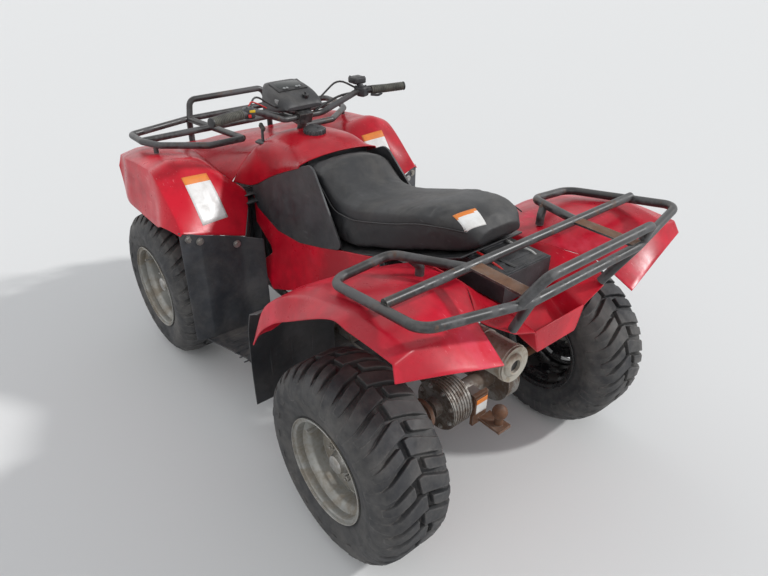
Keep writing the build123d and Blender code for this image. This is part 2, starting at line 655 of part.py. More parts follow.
# Handlebar and what it carries, placed from the top of the stem: (behind it, side, above it)
STEM_TOP = (STEM_BOTTOM[0] - STEM_LENGTH * sin(radians(STEM_TILT)), STEM_BOTTOM[2]
            + STEM_LENGTH * cos(radians(STEM_TILT)))
BAR_LINE = [(10.3, 80, 19), (42.3, 215, 79), (101.3, 402, 86)]
BAR_BEND = 60.0
CLAMP_HEIGHT = 40.0
CLAMP_WIDTH = 56.0
CLAMP_DEPTH = 36.0
GRIP_RADIUS = 16.0
GRIP_SIDES = (272.0, 402.0)
GRIP_BORE_SIDES = (246.0, 428.0)
CLUSTER_CORNERS = [(70.3, 218, 59), (30.3, 262, 103)]
RESERVOIR_CORNERS = [(52.3, -262, 103), (-2.7, -205, 132)]


def at_bars(points):
    """Places behind, beside and above the stem's top, as places ahead of the rear axle."""
    return [(STEM_TOP[0] - behind, side, STEM_TOP[1] + above) for behind, side, above in points]


def bar_points():
    """The handlebar's run from its right end to its left end."""
    left = at_bars(BAR_LINE)
    return other_side(left[::-1]) + left


def on_grip_run(sides):
    """Places on the bar's outer straight run, at these distances from its middle."""
    inner, outer = at_bars(BAR_LINE[-2:])
    shares = [(side - inner[1]) / (outer[1] - inner[1]) for side in sides]
    return [tuple(start + share * (end - start) for start, end in zip(inner, outer)) for share in shares]


with BuildPart() as handlebar:
    add_tube(bar_points(), BAR_TUBE, BAR_BEND)
    with BuildSketch(stem_plane(STEM_LENGTH)):
        Rectangle(CLAMP_WIDTH, CLAMP_DEPTH)
    extrude(amount=CLAMP_HEIGHT)
finish(handlebar, "handlebar")

# Grips
with BuildPart() as grips:
    add_rod(*on_grip_run(GRIP_SIDES), GRIP_RADIUS)
    add_rod(*on_grip_run(GRIP_BORE_SIDES), BAR_TUBE / 2 + BORE_CLEARANCE, Mode.SUBTRACT)
    mirror(about=Plane.XZ)
finish(grips, "grips")

# Hand controls, with the brake fluid reservoir on the right
with BuildPart() as hand_controls:
    add_block(*at_bars(CLUSTER_CORNERS))
    mirror(about=Plane.XZ)
    add_block(*at_bars(RESERVOIR_CORNERS))
    add_tube(bar_points(), BAR_TUBE + 2 * BORE_CLEARANCE, BAR_BEND, Mode.SUBTRACT)
finish(hand_controls, "hand_controls")

# Display pod, placed from the top of the stem
# distance ahead of it, half width and height of the lower edge, half width and height of the upper edge
POD_TOP_ROWS = (
    (-20.3, 80, 51, 75, 67),
    (32.7, 92, 47, 84, 99),
    (142.7, 84, 47, 72, 125),
    (182.7, 62, 47, 52, 93),
)
POD_BASE_ROWS = (
    (17.0, 70, 5, 90, 47),
    (142.7, 70, 2, 84, 47),
    (182.7, 52, 17, 62, 47),
)
with BuildPart() as display_pod:
    for rows in (POD_TOP_ROWS, POD_BASE_ROWS):
        stations = []
        for along, low_side, low_z, high_side, high_z in rows:
            low = STEM_TOP[1] + low_z
            high = STEM_TOP[1] + high_z
            outline = [(-low_side, low), (low_side, low), (high_side, high), (-high_side, high)]
            stations.append((STEM_TOP[0] + along, outline))
        add_solid_sections(stations)
finish(display_pod, "display_pod")

# Knuckles with their steering arms and spindles
SPINDLE_END = 470.0
for hand, name in ((1, "knuckle_left"), (-1, "knuckle_right")):
    with BuildPart() as knuckle:
        pin = (FRONT_AXLE, hand * KINGPIN_SIDE)
        add_block((FRONT_AXLE - 18, hand * KINGPIN_SIDE - 16, 236),
                  (FRONT_AXLE + 18, hand * KINGPIN_SIDE + 16, 368))
        add_rod((pin[0], pin[1], 214), (pin[0], pin[1], 390), KINGPIN_RADIUS)
        add_rod((FRONT_AXLE, hand * KINGPIN_SIDE, AXLE_Z), (FRONT_AXLE, hand * SPINDLE_END, AXLE_Z),
                AXLE_SHAFT_RADIUS)
        add_block((FRONT_AXLE - STEERING_ARM - 12, hand * KINGPIN_SIDE - 14, STEERING_ARM_Z - STEERING_ARM_THICKNESS),
                  (FRONT_AXLE - 10, hand * KINGPIN_SIDE + 14, STEERING_ARM_Z))
    finish(knuckle, name)

# Tie rods
for hand, name in ((1, "tie_rod_left"), (-1, "tie_rod_right")):
    with BuildPart() as tie_rod:
        with BuildSketch(stem_plane(DROP_ARM_TOP + SEAT_CLEARANCE)):
            with Locations((hand * PITMAN_PIN_SIDE, STEERING_ARM)):
                Circle(ROD_END_RADIUS)
        extrude(amount=ROD_END_LENGTH)
        rod_height = DROP_ARM_TOP + ROD_END_LENGTH / 2
        inner = (STEM_BOTTOM[0] - STEERING_ARM * cos(radians(STEM_TILT)) - rod_height * sin(radians(STEM_TILT)),
                 hand * PITMAN_PIN_SIDE,
                 STEM_BOTTOM[2] - STEERING_ARM * sin(radians(STEM_TILT)) + rod_height * cos(radians(STEM_TILT)))
        rod_foot = STEERING_ARM_Z + ROD_END_RISE
        outer = (FRONT_AXLE - STEERING_ARM, hand * KINGPIN_SIDE, rod_foot + ROD_END_LENGTH / 2)
        add_rod(inner, outer, TIE_ROD_RADIUS)
        add_rod((outer[0], outer[1], rod_foot), (outer[0], outer[1], rod_foot + ROD_END_LENGTH), ROD_END_RADIUS)
    finish(tie_rod, name)


def rim_profile(width, radius, dish):
    """Half-section of a rim as (side from its middle, radius), outer side positive."""
    half = width / 2
    seat = radius - RIM_SEAT_DROP
    well = radius - RIM_WELL_DROP
    outside = [(half, radius), (half - RIM_LIP, radius), (half - RIM_LIP, seat), (half - 30, seat),
               (half - 45, well), (-half + 45, well), (-half + 30, seat), (-half + RIM_LIP, seat),
               (-half + RIM_LIP, radius), (-half, radius)]
    inside = [(-half, seat - RIM_WALL), (-half + 30, seat - RIM_WALL), (-half + 45, well - RIM_WALL),
              (dish - 8, well - RIM_WALL), (dish - 8, 62), (dish - 30, 50), (dish - 30, AXLE_SHAFT_RADIUS
              + BORE_CLEARANCE), (dish + 12, AXLE_SHAFT_RADIUS + BORE_CLEARANCE), (dish + 12, 50),
              (dish, 62), (dish, well - RIM_WALL), (half - 45, well - RIM_WALL), (half - 30, seat - RIM_WALL),
              (half, seat - RIM_WALL)]
    return outside + inside


def add_rim(axle_x, side, width, radius, dish):
    """A pressed rim round an axle. Dish is how far its disc stands outside the rim's middle."""
    hand = 1 if side > 0 else -1
    with BuildSketch(Plane.YZ.offset(axle_x)) as section:
        with BuildLine():
            Polyline(*[(side + hand * across, AXLE_Z + out) for across, out in rim_profile(width, radius, dish)],
                     close=True)
        make_face()
    revolve(section.sketch, axis=Axis((axle_x, 0, AXLE_Z), (0, 1, 0)))


def add_polygon_loft(axle_x, rings, sides, turn, mode):
    """A many-sided body round an axle, lofted through rings of (side, radius), with a flat side down at no turn."""
    sections = []
    for side, radius in rings:
        with BuildSketch(wheel_plane(axle_x, side)) as section:
            RegularPolygon(radius, sides, major_radius=False, rotation=90 - 180 / sides + turn)
        sections.append(section.sketch)
    loft(sections, ruled=True, mode=mode)


def make_lug(axle_x, side, half, hand, turn):
    """One lug: a bar that slants back from the tyre's middle and runs down over its shoulder."""
    outward = Vector(sin(turn), 0, cos(turn))
    onward = Vector(cos(turn), 0, -sin(turn))
    slant = radians(LUG_SLANT)
    run = Vector(0, hand * cos(slant), 0) - onward * sin(slant)
    crown_end = half - TREAD_SHOULDER
    crown_middle = (LUG_INNER_END + crown_end) / 2
    origin = Vector(axle_x, side, AXLE_Z) + onward * (crown_middle * tan(slant))
    root = TYRE_RADIUS - LUG_DEPTH - LUG_ROOT
    outline = [(LUG_INNER_END, root), (LUG_INNER_END, TYRE_RADIUS), (crown_end, TYRE_RADIUS), (half - 30, 293),
               (half - 8, 252), (half - 40, root)]
    with BuildSketch(Plane(origin=origin, x_dir=run, z_dir=run.cross(outward)), mode=Mode.PRIVATE) as section:
        with BuildLine():
            Polyline(*[(across / cos(slant), radius) for across, radius in outline], close=True)
        make_face()
    return extrude(section.sketch, amount=LUG_WIDTH / 2, both=True, mode=Mode.PRIVATE)


def add_tyre(axle_x, side, width, rim_width, rim_radius):
    """A tyre's solid ring with a lug on each of its flat sides. Its two halves stand half a pitch apart."""
    half = width / 2
    pitch = 360 / LUGS_A_SIDE
    crown = TYRE_RADIUS - LUG_DEPTH
    bead_half = rim_width / 2 - RIM_LIP - SEAT_CLEARANCE
    hole = rim_radius - RIM_SEAT_DROP + SEAT_CLEARANCE
    ring = ((0, crown), (half - 20, crown - 5), (half, 238))
    lugs = []
    for hand, turn in ((1, 0), (-1, pitch / 2)):
        rings = [(side + hand * across, radius) for across, radius in ring]
        add_polygon_loft(axle_x, rings, LUGS_A_SIDE, turn, Mode.ADD)
        lugs += [make_lug(axle_x, side, half, hand, radians(step * pitch + turn)) for step in range(LUGS_A_SIDE)]
    add(lugs)
    for hand in (1, -1):
        recess = ((bead_half, rim_radius + 4), (half + 1, 205))
        rings = [(side + hand * across, radius) for across, radius in recess]
        add_polygon_loft(axle_x, rings, BEAD_SIDES, 0, Mode.SUBTRACT)
    add_polygon_loft(axle_x, [(side - half - 1, hole), (side + half + 1, hole)], BEAD_SIDES, 0, Mode.SUBTRACT)


# Wheels: name, axle, side, tyre width, rim width, rim radius, how far the disc stands out
WHEEL_ROWS = (
    ("front_left", FRONT_AXLE_X, FRONT_TRACK / 2, FRONT_TYRE_WIDTH, FRONT_RIM_WIDTH, FRONT_RIM_RADIUS, 20),
    ("front_right", FRONT_AXLE_X, -FRONT_TRACK / 2, FRONT_TYRE_WIDTH, FRONT_RIM_WIDTH, FRONT_RIM_RADIUS, 20),
    ("rear_left", REAR_AXLE_X, REAR_TRACK / 2, REAR_TYRE_WIDTH, REAR_RIM_WIDTH, REAR_RIM_RADIUS, 30),
    ("rear_right", REAR_AXLE_X, -REAR_TRACK / 2, REAR_TYRE_WIDTH, REAR_RIM_WIDTH, REAR_RIM_RADIUS, 30),
)
for name, axle_x, side, tyre_width, rim_width, rim_radius, dish in WHEEL_ROWS:
    with BuildPart() as rim:
        add_rim(axle_x, side, rim_width, rim_radius, dish)
    finish(rim, name.replace("_", "_rim_"))
    with BuildPart() as tyre:
        add_tyre(axle_x, side, tyre_width, rim_width, rim_radius)
    finish(tyre, name.replace("_", "_tyre_"))

# Rear axle shaft
with BuildPart() as rear_axle_shaft:
    half = REAR_TRACK / 2 + 55
    add_disc(REAR_AXLE_X, -half, 2 * half, AXLE_SHAFT_RADIUS)
    add_disc(REAR_AXLE_X, 190, 14, 48)
finish(rear_axle_shaft, "rear_axle_shaft")
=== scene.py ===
import math

import bmesh
import bpy
from mathutils import Matrix, Vector
from mathutils.bvhtree import BVHTree


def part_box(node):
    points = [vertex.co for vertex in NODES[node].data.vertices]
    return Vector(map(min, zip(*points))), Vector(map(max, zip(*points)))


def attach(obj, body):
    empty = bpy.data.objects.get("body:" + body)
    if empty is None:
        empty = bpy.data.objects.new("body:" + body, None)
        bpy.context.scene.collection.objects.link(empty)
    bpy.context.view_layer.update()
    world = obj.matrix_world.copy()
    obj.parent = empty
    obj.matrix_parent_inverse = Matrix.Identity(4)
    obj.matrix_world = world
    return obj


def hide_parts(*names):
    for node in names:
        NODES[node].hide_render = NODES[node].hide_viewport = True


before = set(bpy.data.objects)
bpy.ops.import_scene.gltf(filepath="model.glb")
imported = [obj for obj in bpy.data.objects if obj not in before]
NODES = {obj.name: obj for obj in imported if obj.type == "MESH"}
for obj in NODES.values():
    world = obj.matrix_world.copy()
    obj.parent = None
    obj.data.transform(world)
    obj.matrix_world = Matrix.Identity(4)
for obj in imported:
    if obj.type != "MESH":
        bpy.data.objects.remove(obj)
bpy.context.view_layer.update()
# Places and sizes of pieces are in millimetres, and become metres where a mesh is made
MM = 0.001
HANDS = (1, -1)
UP = Vector((0, 0, 1))
AXLE_HEIGHT = 302

# The rear axle, from its packed rim
rear_low, rear_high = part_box("rear_rim_left")
REAR_AXLE_X = (rear_low.x + rear_high.x) / 2


def place(along, side, height):
    """A place from millimetres ahead of the rear axle, to the left and above the ground."""
    return Vector((REAR_AXLE_X + along * MM, side * MM, height * MM))


def move(ahead, left, up):
    """A move by millimetres."""
    return Vector((ahead * MM, left * MM, up * MM))


# Camera at the photograph's view
CAMERA_PLACE = (-1041.7, 1220.7, 1628.1)
CAMERA_FORWARD = Vector((0.65952892, -0.5472668, -0.51528696))
CAMERA_ROLL = math.radians(0.39)
FOCAL_PIXELS = 624.75
IMAGE_WIDTH = 768
SENSOR_MM = 36.0

camera_data = bpy.data.cameras.new("photo_camera")
camera_data.sensor_width = SENSOR_MM
camera_data.lens = FOCAL_PIXELS / IMAGE_WIDTH * SENSOR_MM
camera_data.clip_start = 0.05
camera_data.clip_end = 200.0
camera = bpy.data.objects.new("photo_camera", camera_data)
bpy.context.scene.collection.objects.link(camera)
aim = CAMERA_FORWARD.to_track_quat("-Z", "Y")
camera.matrix_world = (Matrix.Translation(place(*CAMERA_PLACE)) @ aim.to_matrix().to_4x4()
                       @ Matrix.Rotation(CAMERA_ROLL, 4, "Z"))
bpy.context.scene.camera = camera


# Shader node groups

def add_node(tree, kind, inputs=None, **settings):
    """A node with its settings, and its sockets set to values or linked from other sockets."""
    made = tree.nodes.new(kind)
    for name, value in settings.items():
        setattr(made, name, value)
    for socket, value in (inputs or {}).items():
        if isinstance(value, bpy.types.NodeSocket):
            tree.links.new(value, made.inputs[socket])
        else:
            made.inputs[socket].default_value = value
    return made


def add_noise(tree, vector, scale, detail=4.0, roughness=0.6, distortion=0.0):
    """A noise texture's value."""
    sockets = {"Vector": vector, "Scale": scale, "Detail": detail, "Roughness": roughness,
               "Distortion": distortion}
    return add_node(tree, "ShaderNodeTexNoise", sockets).outputs["Fac"]


def add_range(tree, value, low, high, to_low=0.0, to_high=1.0):
    """A value stretched from one range to another."""
    sockets = {"Value": value, "From Min": low, "From Max": high, "To Min": to_low, "To Max": to_high}
    return add_node(tree, "ShaderNodeMapRange", sockets, interpolation_type="SMOOTHSTEP").outputs["Result"]


def add_math(tree, operation, first, second):
    """Two values joined by one operation."""
    return add_node(tree, "ShaderNodeMath", {0: first, 1: second}, operation=operation).outputs[0]


def multiply(tree, first, *others):
    """Values multiplied together."""
    for other in others:
        first = add_math(tree, "MULTIPLY", first, other)
    return first


def opaque(colour):
    """A colour with full cover, or a socket as it is."""
    return (*colour, 1.0) if isinstance(colour, tuple) else colour


def mix_colours(tree, mask, under, over):
    """One colour laid over another by a mask."""
    sockets = {0: mask, 6: opaque(under), 7: opaque(over)}
    return add_node(tree, "ShaderNodeMix", sockets, data_type="RGBA").outputs[2]


def surface_normal(tree):
    """The normal of the surface as it is."""
    return tree.nodes.new("ShaderNodeNewGeometry").outputs["Normal"]


def upward_part(tree, vector):
    """The upward part of a vector."""
    return add_node(tree, "ShaderNodeSeparateXYZ", {0: vector}).outputs["Z"]


def new_group(name, values, result):
    """A shader group with a Vector and named values as inputs: its tree, its input sockets and its end."""
    group = bpy.data.node_groups.new(name, "ShaderNodeTree")
    group.interface.new_socket(name="Vector", in_out="INPUT", socket_type="NodeSocketVector")
    for label, value in values.items():
        socket = group.interface.new_socket(name=label, in_out="INPUT", socket_type="NodeSocketFloat")
        socket.default_value = value
    group.interface.new_socket(name=result, in_out="OUTPUT", socket_type="NodeSocketFloat")
    return group, group.nodes.new("NodeGroupInput").outputs, group.nodes.new("NodeGroupOutput").inputs[0]


def make_patches_group():
    """Broad uneven patches, with finer break-up inside them."""
    group, given, end = new_group("patches", {"Scale": 8.0, "Low": 0.45, "High": 0.65}, "Mask")
    broad = add_noise(group, given["Vector"], given["Scale"], 3.0, 0.55, 0.6)
    fine = add_noise(group, given["Vector"], multiply(group, given["Scale"], 7.0), 5.0, 0.65)
    blended = add_math(group, "ADD", multiply(group, broad, 0.68), multiply(group, fine, 0.32))
    group.links.new(add_range(group, blended, given["Low"], given["High"]), end)
    return group


def make_worn_edges_group():
    """Edges rubbed through: where a rounded normal leaves the real one, broken up by noise."""
    group, given, end = new_group("worn edges", {"Width": 0.004, "Amount": 1.0}, "Mask")
    rounded = add_node(group, "ShaderNodeBevel", {"Radius": given["Width"]}, samples=4).outputs[0]
    turned = add_node(group, "ShaderNodeVectorMath", {0: rounded, 1: surface_normal(group)},
                      operation="DOT_PRODUCT")
    edge = add_range(group, turned.outputs["Value"], 0.995, 0.90)
    break_up = add_range(group, add_noise(group, given["Vector"], 45.0, 5.0, 0.7), 0.40, 0.62)
    group.links.new(multiply(group, edge, break_up, given["Amount"]), end)
    return group


def make_dust_group():
    """Dust on what faces up, thicker near the ground, in uneven patches."""
    group, given, end = new_group("settled dust", {"Amount": 0.5, "Scale": 9.0}, "Mask")
    lying = add_range(group, upward_part(group, surface_normal(group)), -0.2, 1.0, 0.35, 1.0)
    low_down = add_range(group, upward_part(group, given["Vector"]), 0.75, 0.05, 0.55, 1.0)
    uneven = add_range(group, add_noise(group, given["Vector"], given["Scale"], 6.0, 0.68, 0.4), 0.38, 0.72)
    group.links.new(multiply(group, lying, low_down, uneven, given["Amount"]), end)
    return group


def make_grain_group():
    """The height of a moulded grain: fine pebbles over soft unevenness."""
    group, given, end = new_group("moulded grain", {"Scale": 900.0, "Unevenness": 0.4}, "Height")
    pebbles = add_node(group, "ShaderNodeTexVoronoi", {"Vector": given["Vector"], "Scale": given["Scale"]},
                       feature="SMOOTH_F1").outputs["Distance"]
    soft = multiply(group, add_noise(group, given["Vector"], 30.0, 4.0), given["Unevenness"])
    group.links.new(add_math(group, "ADD", pebbles, soft), end)
    return group


# turn of one set of scratches, and how far they are drawn out
SCRATCH_SETS = ((0.4, 14.0), (1.3, 18.0), (2.3, 10.0))


def make_scratches_group():
    """Thin light scratches that run in several directions."""
    group, given, end = new_group("scratches", {"Scale": 14.0, "Amount": 0.5}, "Mask")
    total = None
    for turn, stretch in SCRATCH_SETS:
        sockets = {"Vector": given["Vector"], "Rotation": (turn * 0.7, turn * 0.3, turn),
                   "Scale": (1.0, stretch, stretch * 0.6)}
        turned = add_node(group, "ShaderNodeMapping", sockets).outputs[0]
        thin = add_range(group, add_noise(group, turned, given["Scale"], 2.0, 0.5, 0.2), 0.70, 0.76)
        total = thin if total is None else add_math(group, "MAXIMUM", total, thin)
    spread = add_range(group, add_noise(group, given["Vector"], 5.0, 2.0), 0.42, 0.66)
    group.links.new(multiply(group, total, spread, given["Amount"]), end)
    return group


PATCHES = make_patches_group()
WORN_EDGES = make_worn_edges_group()
DUST = make_dust_group()
GRAIN = make_grain_group()
SCRATCHES = make_scratches_group()


# Materials, with the widths of wear and the heights of bumps in metres

DUST_COLOUR = (0.30, 0.27, 0.23)


class Finish:
    """A material in the making: its shader, and the colour laid down so far."""

    def __init__(self, name, colour, metallic=0.0, coat=0.0, coat_roughness=0.2):
        self.material = bpy.data.materials.new(name)
        self.material.use_nodes = True
        self.tree = self.material.node_tree
        self.shader = self.tree.nodes["Principled BSDF"]
        self.shader.inputs["Metallic"].default_value = metallic
        self.shader.inputs["Coat Weight"].default_value = coat
        self.shader.inputs["Coat Roughness"].default_value = coat_roughness
        self.where = self.tree.nodes.new("ShaderNodeTexCoord").outputs["Object"]
        self.colour = colour

    def noise(self, scale, detail=5.0, roughness=0.7):
        """Noise on the piece's own coordinates."""
        return add_noise(self.tree, self.where, scale, detail, roughness)

    def effect(self, group, **values):
        """A shared shader group placed here with its own values."""
        sockets = {"Vector": self.where, **values}
        return add_node(self.tree, "ShaderNodeGroup", sockets, node_tree=group).outputs[0]

    def patches(self, scale, low, high):
        """The mask of uneven patches."""
        return self.effect(PATCHES, Scale=scale, Low=low, High=high)

    def lay(self, mask, over):
        """Lays a colour over what is there."""
        self.colour = mix_colours(self.tree, mask, self.colour, over)

    def wear(self, width, amount, over):
        """Lays a colour on worn edges."""
        self.lay(self.effect(WORN_EDGES, Width=width, Amount=amount), over)

    def scratch(self, scale, amount, over):
        """Lays a colour in scratches."""
        self.lay(self.effect(SCRATCHES, Scale=scale, Amount=amount), over)

    def dust(self, amount, scale):
        """Lays settled dust over all."""
        self.lay(self.effect(DUST, Amount=amount, Scale=scale), DUST_COLOUR)

    def close(self, roughness, height, strength, distance):
        """Links colour, roughness and bump to the shader, and gives the material."""
        self.tree.links.new(self.colour, self.shader.inputs["Base Color"])
        self.tree.links.new(roughness, self.shader.inputs["Roughness"])
        sockets = {"Height": height, "Strength": strength, "Distance": distance}
        bump = add_node(self.tree, "ShaderNodeBump", sockets)
        self.tree.links.new(bump.outputs[0], self.shader.inputs["Normal"])
        return self.material


def darkened(colour, share):
    """A colour taken down to a share of itself."""
    return tuple(channel * share for channel in colour)


def make_red_plastic(name, base, chalk, chalk_low, chalk_high, dust):
    """Moulded red body plastic, bleached chalky where the sun and hands reach it."""
    finish = Finish(name, darkened(base, 0.62), coat=0.06, coat_roughness=0.30)
    finish.shader.inputs["Specular IOR Level"].default_value = 0.24
    finish.lay(finish.patches(2.2, 0.40, 0.62), base)
    bleached = finish.patches(5.0, chalk_low, chalk_high)
    finish.lay(bleached, chalk)
    finish.scratch(9.0, 0.45, (0.80, 0.30, 0.32))
    finish.dust(dust, 7.0)
    smears = add_math(finish.tree, "ADD", finish.noise(12.0), multiply(finish.tree, bleached, 0.5))
    return finish.close(add_range(finish.tree, smears, 0.3, 1.1, 0.26, 0.62),
                        finish.effect(GRAIN, Scale=700.0, Unevenness=2.2), 0.10, 0.0006)


def make_dark_plastic(name, base, pale, grain_scale, grain_strength, dust, gloss):
    """Black or slate moulded plastic with a pebbled grain, greyed by the sun."""
    finish = Finish(name, base)
    finish.lay(finish.patches(4.0, 0.42, 0.66), pale)
    finish.wear(0.003, 0.5, (0.16, 0.16, 0.17))
    finish.scratch(11.0, 0.35, (0.14, 0.14, 0.15))
    finish.dust(dust, 8.0)
    return finish.close(add_range(finish.tree, finish.noise(16.0, 5.0, 0.65), 0.3, 0.7, gloss, gloss + 0.22),
                        finish.effect(GRAIN, Scale=grain_scale, Unevenness=1.0), grain_strength, 0.0008)


def make_tube_paint(name, paint, rust_low, rust_high, dust):
    """Black paint on steel tube, rubbed grey on its edges and tops and rusting in patches."""
    finish = Finish(name, paint)
    dull = finish.patches(9.0, 0.44, 0.60)
    finish.lay(dull, tuple(min(1.0, channel * 2.6 + 0.02) for channel in paint))
    rust = mix_colours(finish.tree, finish.noise(60.0), (0.045, 0.020, 0.012), (0.20, 0.085, 0.035))
    rusty = finish.patches(13.0, rust_low, rust_high)
    finish.lay(rusty, rust)
    finish.wear(0.004, 0.8, (0.30, 0.27, 0.24))
    finish.dust(dust, 11.0)
    pitting = multiply(finish.tree, finish.noise(220.0, 6.0), add_math(finish.tree, "ADD", rusty, 0.25))
    uneven = add_math(finish.tree, "ADD", dull, rusty)
    return finish.close(add_range(finish.tree, uneven, 0.0, 1.6, 0.34, 0.82), pitting, 0.35, 0.0008)


def make_bare_metal(name, base, stain, stain_low, stain_high, metallic, rough_low, rough_high, cast_height,
                    dust):
    """Bare or thinly painted metal with stains and a cast or brushed surface."""
    finish = Finish(name, darkened(base, 0.70), metallic=metallic)
    tone = finish.noise(26.0)
    finish.lay(tone, base)
    stained = finish.patches(12.0, stain_low, stain_high)
    finish.lay(stained, stain)
    finish.wear(0.003, 0.7, (0.55, 0.53, 0.50))
    finish.dust(dust, 12.0)
    uneven = add_math(finish.tree, "ADD", tone, stained)
    return finish.close(add_range(finish.tree, uneven, 0.2, 1.5, rough_low, rough_high),
                        finish.noise(300.0, 6.0), cast_height, 0.0006)


def make_seat_vinyl():
    """Black seat vinyl with a fine leather grain, and a painted sheen: paler grey in patches on its upward
    faces, where light from above falls.
    """
    finish = Finish("seat vinyl", (0.012, 0.013, 0.015))
    # painted sheen: the upward faces are paled to grey in patches, as light from above would show them
    top = add_range(finish.tree, upward_part(finish.tree, surface_normal(finish.tree)), 0.45, 0.98)
    finish.lay(multiply(finish.tree, finish.patches(3.0, 0.40, 0.64), top), (0.040, 0.041, 0.043))
    finish.scratch(10.0, 0.3, (0.13, 0.13, 0.13))
    finish.dust(0.22, 9.0)
    creases = add_node(finish.tree, "ShaderNodeTexVoronoi", {"Vector": finish.where, "Scale": 420.0},
                       feature="DISTANCE_TO_EDGE").outputs["Distance"]
    height = add_math(finish.tree, "ADD", multiply(finish.tree, creases, 0.6),
                      multiply(finish.tree, finish.noise(24.0, 4.0, 0.6), 0.5))
    return finish.close(add_range(finish.tree, finish.noise(9.0, 5.0, 0.65), 0.3, 0.7, 0.50, 0.68),
                        height, 0.22, 0.0009)


def make_tyre_rubber():
    """Tyre rubber, worn grey-brown on the lugs, with dust in patches."""
    finish = Finish("tyre rubber", (0.020, 0.021, 0.024))
    finish.lay(finish.patches(7.0, 0.40, 0.64), (0.055, 0.054, 0.054))
    finish.wear(0.006, 0.55, (0.15, 0.14, 0.13))
    finish.lay(multiply(finish.tree, finish.patches(5.0, 0.42, 0.72), 0.35), (0.20, 0.185, 0.165))
    return finish.close(add_range(finish.tree, finish.noise(14.0, 5.0, 0.65), 0.3, 0.7, 0.58, 0.86),
                        finish.noise(140.0, 6.0), 0.30, 0.0012)


def make_plain_finish(name, base, second, roughness_low, roughness_high, metallic=0.0):
    """A small part's finish: two near tones, uneven gloss and a light grain."""
    finish = Finish(name, base, metallic=metallic)
    tone = finish.patches(20.0, 0.40, 0.64)
    finish.lay(tone, second)
    return finish.close(add_range(finish.tree, tone, 0.0, 1.0, roughness_low, roughness_high),
                        finish.noise(260.0, 5.0, 0.6), 0.12, 0.0005)


# name, base, chalk, where the chalk starts and is full, dust
RED = make_red_plastic("red plastic", (0.62, 0.006, 0.024), (0.62, 0.026, 0.055), 0.56, 0.80, 0.05)
RED_FADED = make_red_plastic("faded red plastic", (0.66, 0.009, 0.032), (0.68, 0.045, 0.085), 0.50, 0.74,
                             0.09)
CRIMSON = make_red_plastic("crimson plastic", (0.48, 0.005, 0.018), (0.54, 0.030, 0.055), 0.58, 0.85, 0.06)
# name, base, greyed tone, scale and strength of the grain, dust, least roughness
BLACK_PLASTIC = make_dark_plastic("black plastic", (0.016, 0.017, 0.020), (0.040, 0.041, 0.045), 900.0, 0.35,
                                  0.22, 0.40)
SLATE_PLASTIC = make_dark_plastic("slate plastic", (0.022, 0.025, 0.031), (0.052, 0.056, 0.064), 620.0, 0.55,
                                  0.45, 0.48)
# name, paint, where the rust starts and is full, dust
FRAME_PAINT = make_tube_paint("frame paint", (0.016, 0.016, 0.017), 0.60, 0.74, 0.70)
RACK_PAINT = make_tube_paint("rack paint", (0.022, 0.022, 0.023), 0.56, 0.72, 0.14)
RUSTY_STEEL = make_tube_paint("rusty steel", (0.060, 0.034, 0.024), 0.30, 0.52, 0.30)
# name, base, stain, where the stain starts and is full, metallic, roughness, height of the casting, dust
CAST_METAL = make_bare_metal("cast metal", (0.30, 0.29, 0.27), (0.10, 0.065, 0.045), 0.42, 0.62,
                             0.55, 0.40, 0.75, 0.5, 0.45)
MUFFLER_METAL = make_bare_metal("muffler metal", (0.52, 0.49, 0.42), (0.26, 0.19, 0.12), 0.46, 0.70,
                                0.45, 0.38, 0.62, 0.2, 0.35)
RIM_METAL = make_bare_metal("rim paint", (0.34, 0.34, 0.32), (0.20, 0.17, 0.13), 0.42, 0.66,
                            0.45, 0.36, 0.62, 0.12, 0.50)
SEAT_VINYL = make_seat_vinyl()
TYRE_RUBBER = make_tyre_rubber()
# name, base, second tone, least and most roughness, metallic
# painted shade: the right rear rim, seen from its shaded inner side, is made black where the other rims are
# grey paint
RIM_IN_PAINTED_SHADE = make_plain_finish("rim in painted shade", (0.012, 0.012, 0.014), (0.035, 0.034, 0.033), 0.16, 0.45)
LAMP_LENS = make_plain_finish("headlight glass", (0.26, 0.28, 0.30), (0.12, 0.13, 0.14), 0.05, 0.14)
BOLT_METAL = make_plain_finish("bolt metal", (0.46, 0.46, 0.45), (0.30, 0.28, 0.25), 0.32, 0.55, 0.8)
LABEL_WHITE = make_plain_finish("label white", (0.80, 0.80, 0.78), (0.70, 0.69, 0.66), 0.34, 0.50)
LABEL_ORANGE = make_plain_finish("label orange", (0.80, 0.24, 0.035), (0.70, 0.20, 0.03), 0.34, 0.50)
GRIP_RUBBER = make_plain_finish("grip rubber", (0.10, 0.098, 0.080), (0.055, 0.054, 0.048), 0.60, 0.82)
CABLE_BLACK = make_plain_finish("cable black", (0.012, 0.012, 0.013), (0.035, 0.035, 0.036), 0.35, 0.60)
SCREEN_DARK = make_plain_finish("display glass", (0.020, 0.024, 0.024), (0.035, 0.040, 0.038), 0.08, 0.20)
BUTTON_GREY = make_plain_finish("grey button", (0.30, 0.31, 0.31), (0.20, 0.20, 0.20), 0.35, 0.50)
LEVER_METAL = make_plain_finish("dark lever metal", (0.040, 0.040, 0.042), (0.10, 0.10, 0.10), 0.34, 0.55,
                                0.6)
SPRING_PAINT = make_plain_finish("spring paint", (0.025, 0.025, 0.027), (0.07, 0.06, 0.05), 0.32, 0.60)
BUTTON_YELLOW = make_plain_finish("yellow button", (0.75, 0.50, 0.03), (0.62, 0.42, 0.03), 0.35, 0.50)
BUTTON_RED = make_plain_finish("red button", (0.62, 0.02, 0.02), (0.45, 0.015, 0.015), 0.35, 0.50)
WIRE_WHITE = make_plain_finish("white wire", (0.62, 0.62, 0.60), (0.50, 0.49, 0.46), 0.35, 0.50)


# Mesh work

def vertices_in(geometry):
    """The vertices among what an operator made."""
    return [item for item in geometry if isinstance(item, bmesh.types.BMVert)]


